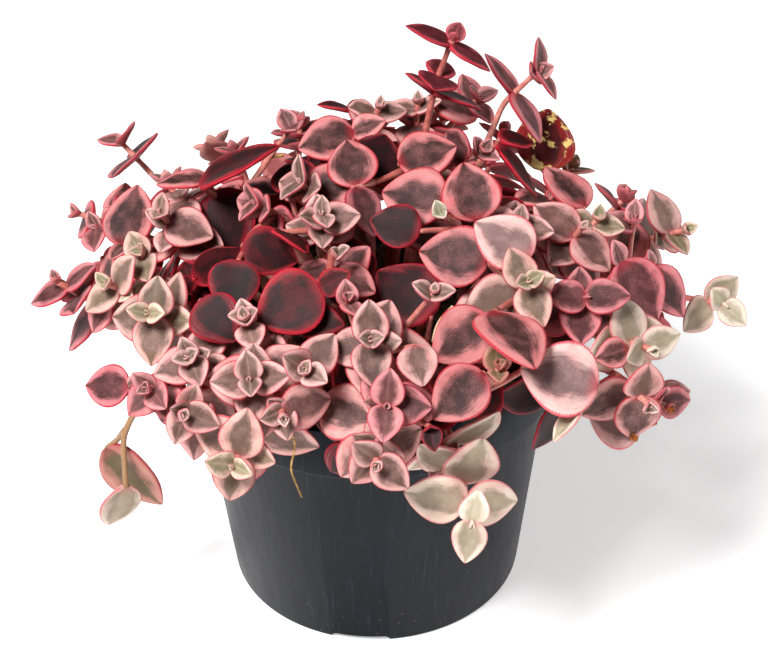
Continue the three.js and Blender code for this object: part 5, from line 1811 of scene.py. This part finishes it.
# The stage: a pale floor, soft light and the camera. A light has a place, a width and a power, in
# metres and watts.
IMAGE_WIDTH = 768
SENSOR = 36
CAMERA_ELEVATION = math.radians(35.4)
CAMERA_DISTANCE = 600
CAMERA_FOCAL_PIXELS = 1921
CAMERA_TARGET = np.array([3.6, 0.0, 88.0])
CAMERA_ROLL = math.radians(-0.91)
FLOOR_REACH = 4000
FLOOR_GLOW = 0.46
WORLD_LIGHT = 0.06
LIGHTS = {
    "key_light": ((-0.4, -0.45, 0.95), 0.36, 17),
    "side_light": ((0.85, 0.15, 0.35), 0.5, 3.0),
}
LIGHTS_AIM = (0, 0, 0.1)


# Stands a camera or a light, which look along their own -Z.
def stood(name, data, right, up, back, spot):
    made = placed(name, data)
    rows = [[right[k], up[k], back[k], spot[k]] for k in range(3)]
    made.matrix_world = Matrix(rows + [[0, 0, 0, 1]])
    return made


def make_camera():
    ahead = np.array([0, math.cos(CAMERA_ELEVATION), -math.sin(CAMERA_ELEVATION)])
    level = np.array([1.0, 0.0, 0.0])
    over = cross(level, ahead)
    right = level * math.cos(CAMERA_ROLL) + over * math.sin(CAMERA_ROLL)
    up = over * math.cos(CAMERA_ROLL) - level * math.sin(CAMERA_ROLL)
    lens = bpy.data.cameras.new("camera")
    lens.sensor_fit = "HORIZONTAL"
    lens.sensor_width = SENSOR
    lens.lens = CAMERA_FOCAL_PIXELS * SENSOR / IMAGE_WIDTH
    spot = (CAMERA_TARGET - ahead * CAMERA_DISTANCE) * MM
    bpy.context.scene.camera = stood("camera", lens, right, up, -ahead, spot)


def make_light(name, place, width, power):
    lamp = bpy.data.lights.new(name, "AREA")
    lamp.size = width
    lamp.energy = power
    back = unit(np.array(place) - np.array(LIGHTS_AIM))
    side = level_side(back)
    stood(name, lamp, side, cross(back, side), back, place)


def make_floor():
    far = FLOOR_REACH
    corners = np.array([(-far, -far, 0), (far, -far, 0), (far, far, 0), (-far, far, 0)])
    floor = placed("floor", mesh_from("floor", corners, [(0, 1, 2, 3)]))
    paint = Paint("floor")
    tone = paint.noise(millimetres(paint), 0.002, 1)
    paint.set(Base_Color=paint.mix(tone, srgb(250, 250, 250), srgb(254, 254, 254)), Roughness=0.9)
    paint.set(Emission_Color=(1, 1, 1, 1), Emission_Strength=FLOOR_GLOW)
    floor.data.materials.append(paint.material)
    floor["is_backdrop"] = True


def make_stage():
    make_floor()
    world = bpy.data.worlds.new("studio")
    world.use_nodes = True
    sky = world.node_tree.nodes["Background"].inputs
    sky["Color"].default_value = (1, 1, 1, 1)
    sky["Strength"].default_value = WORLD_LIGHT
    bpy.context.scene.world = world
    for name, light in LIGHTS.items():
        make_light(name, *light)
    bpy.context.scene.view_settings.view_transform = "Standard"
    make_camera()


def main():
    make_stage()
    plant = grow_plant()
    grids = {
        "big": leaf_grid(*BIG_RINGS),
        "small": leaf_grid(*SMALL_RINGS),
        "bud": leaf_grid(*BUD_RINGS),
    }
    scorched = leaf_material("scorched_leaf", dry=True)
    finishes = [leaf_material("crassula_leaf"), stem_material(), scorched]
    for node in range(len(plant.roots)):
        make_stem(node, plant, grids, finishes)
    make_pot()
    make_soil()
    make_dry_things(plant, grids, finishes[0])


main()
boxes = {"cad": cad_bounds, "visual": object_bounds()}
{name: [list(corner) for corner in box] for name, box in boxes.items()}
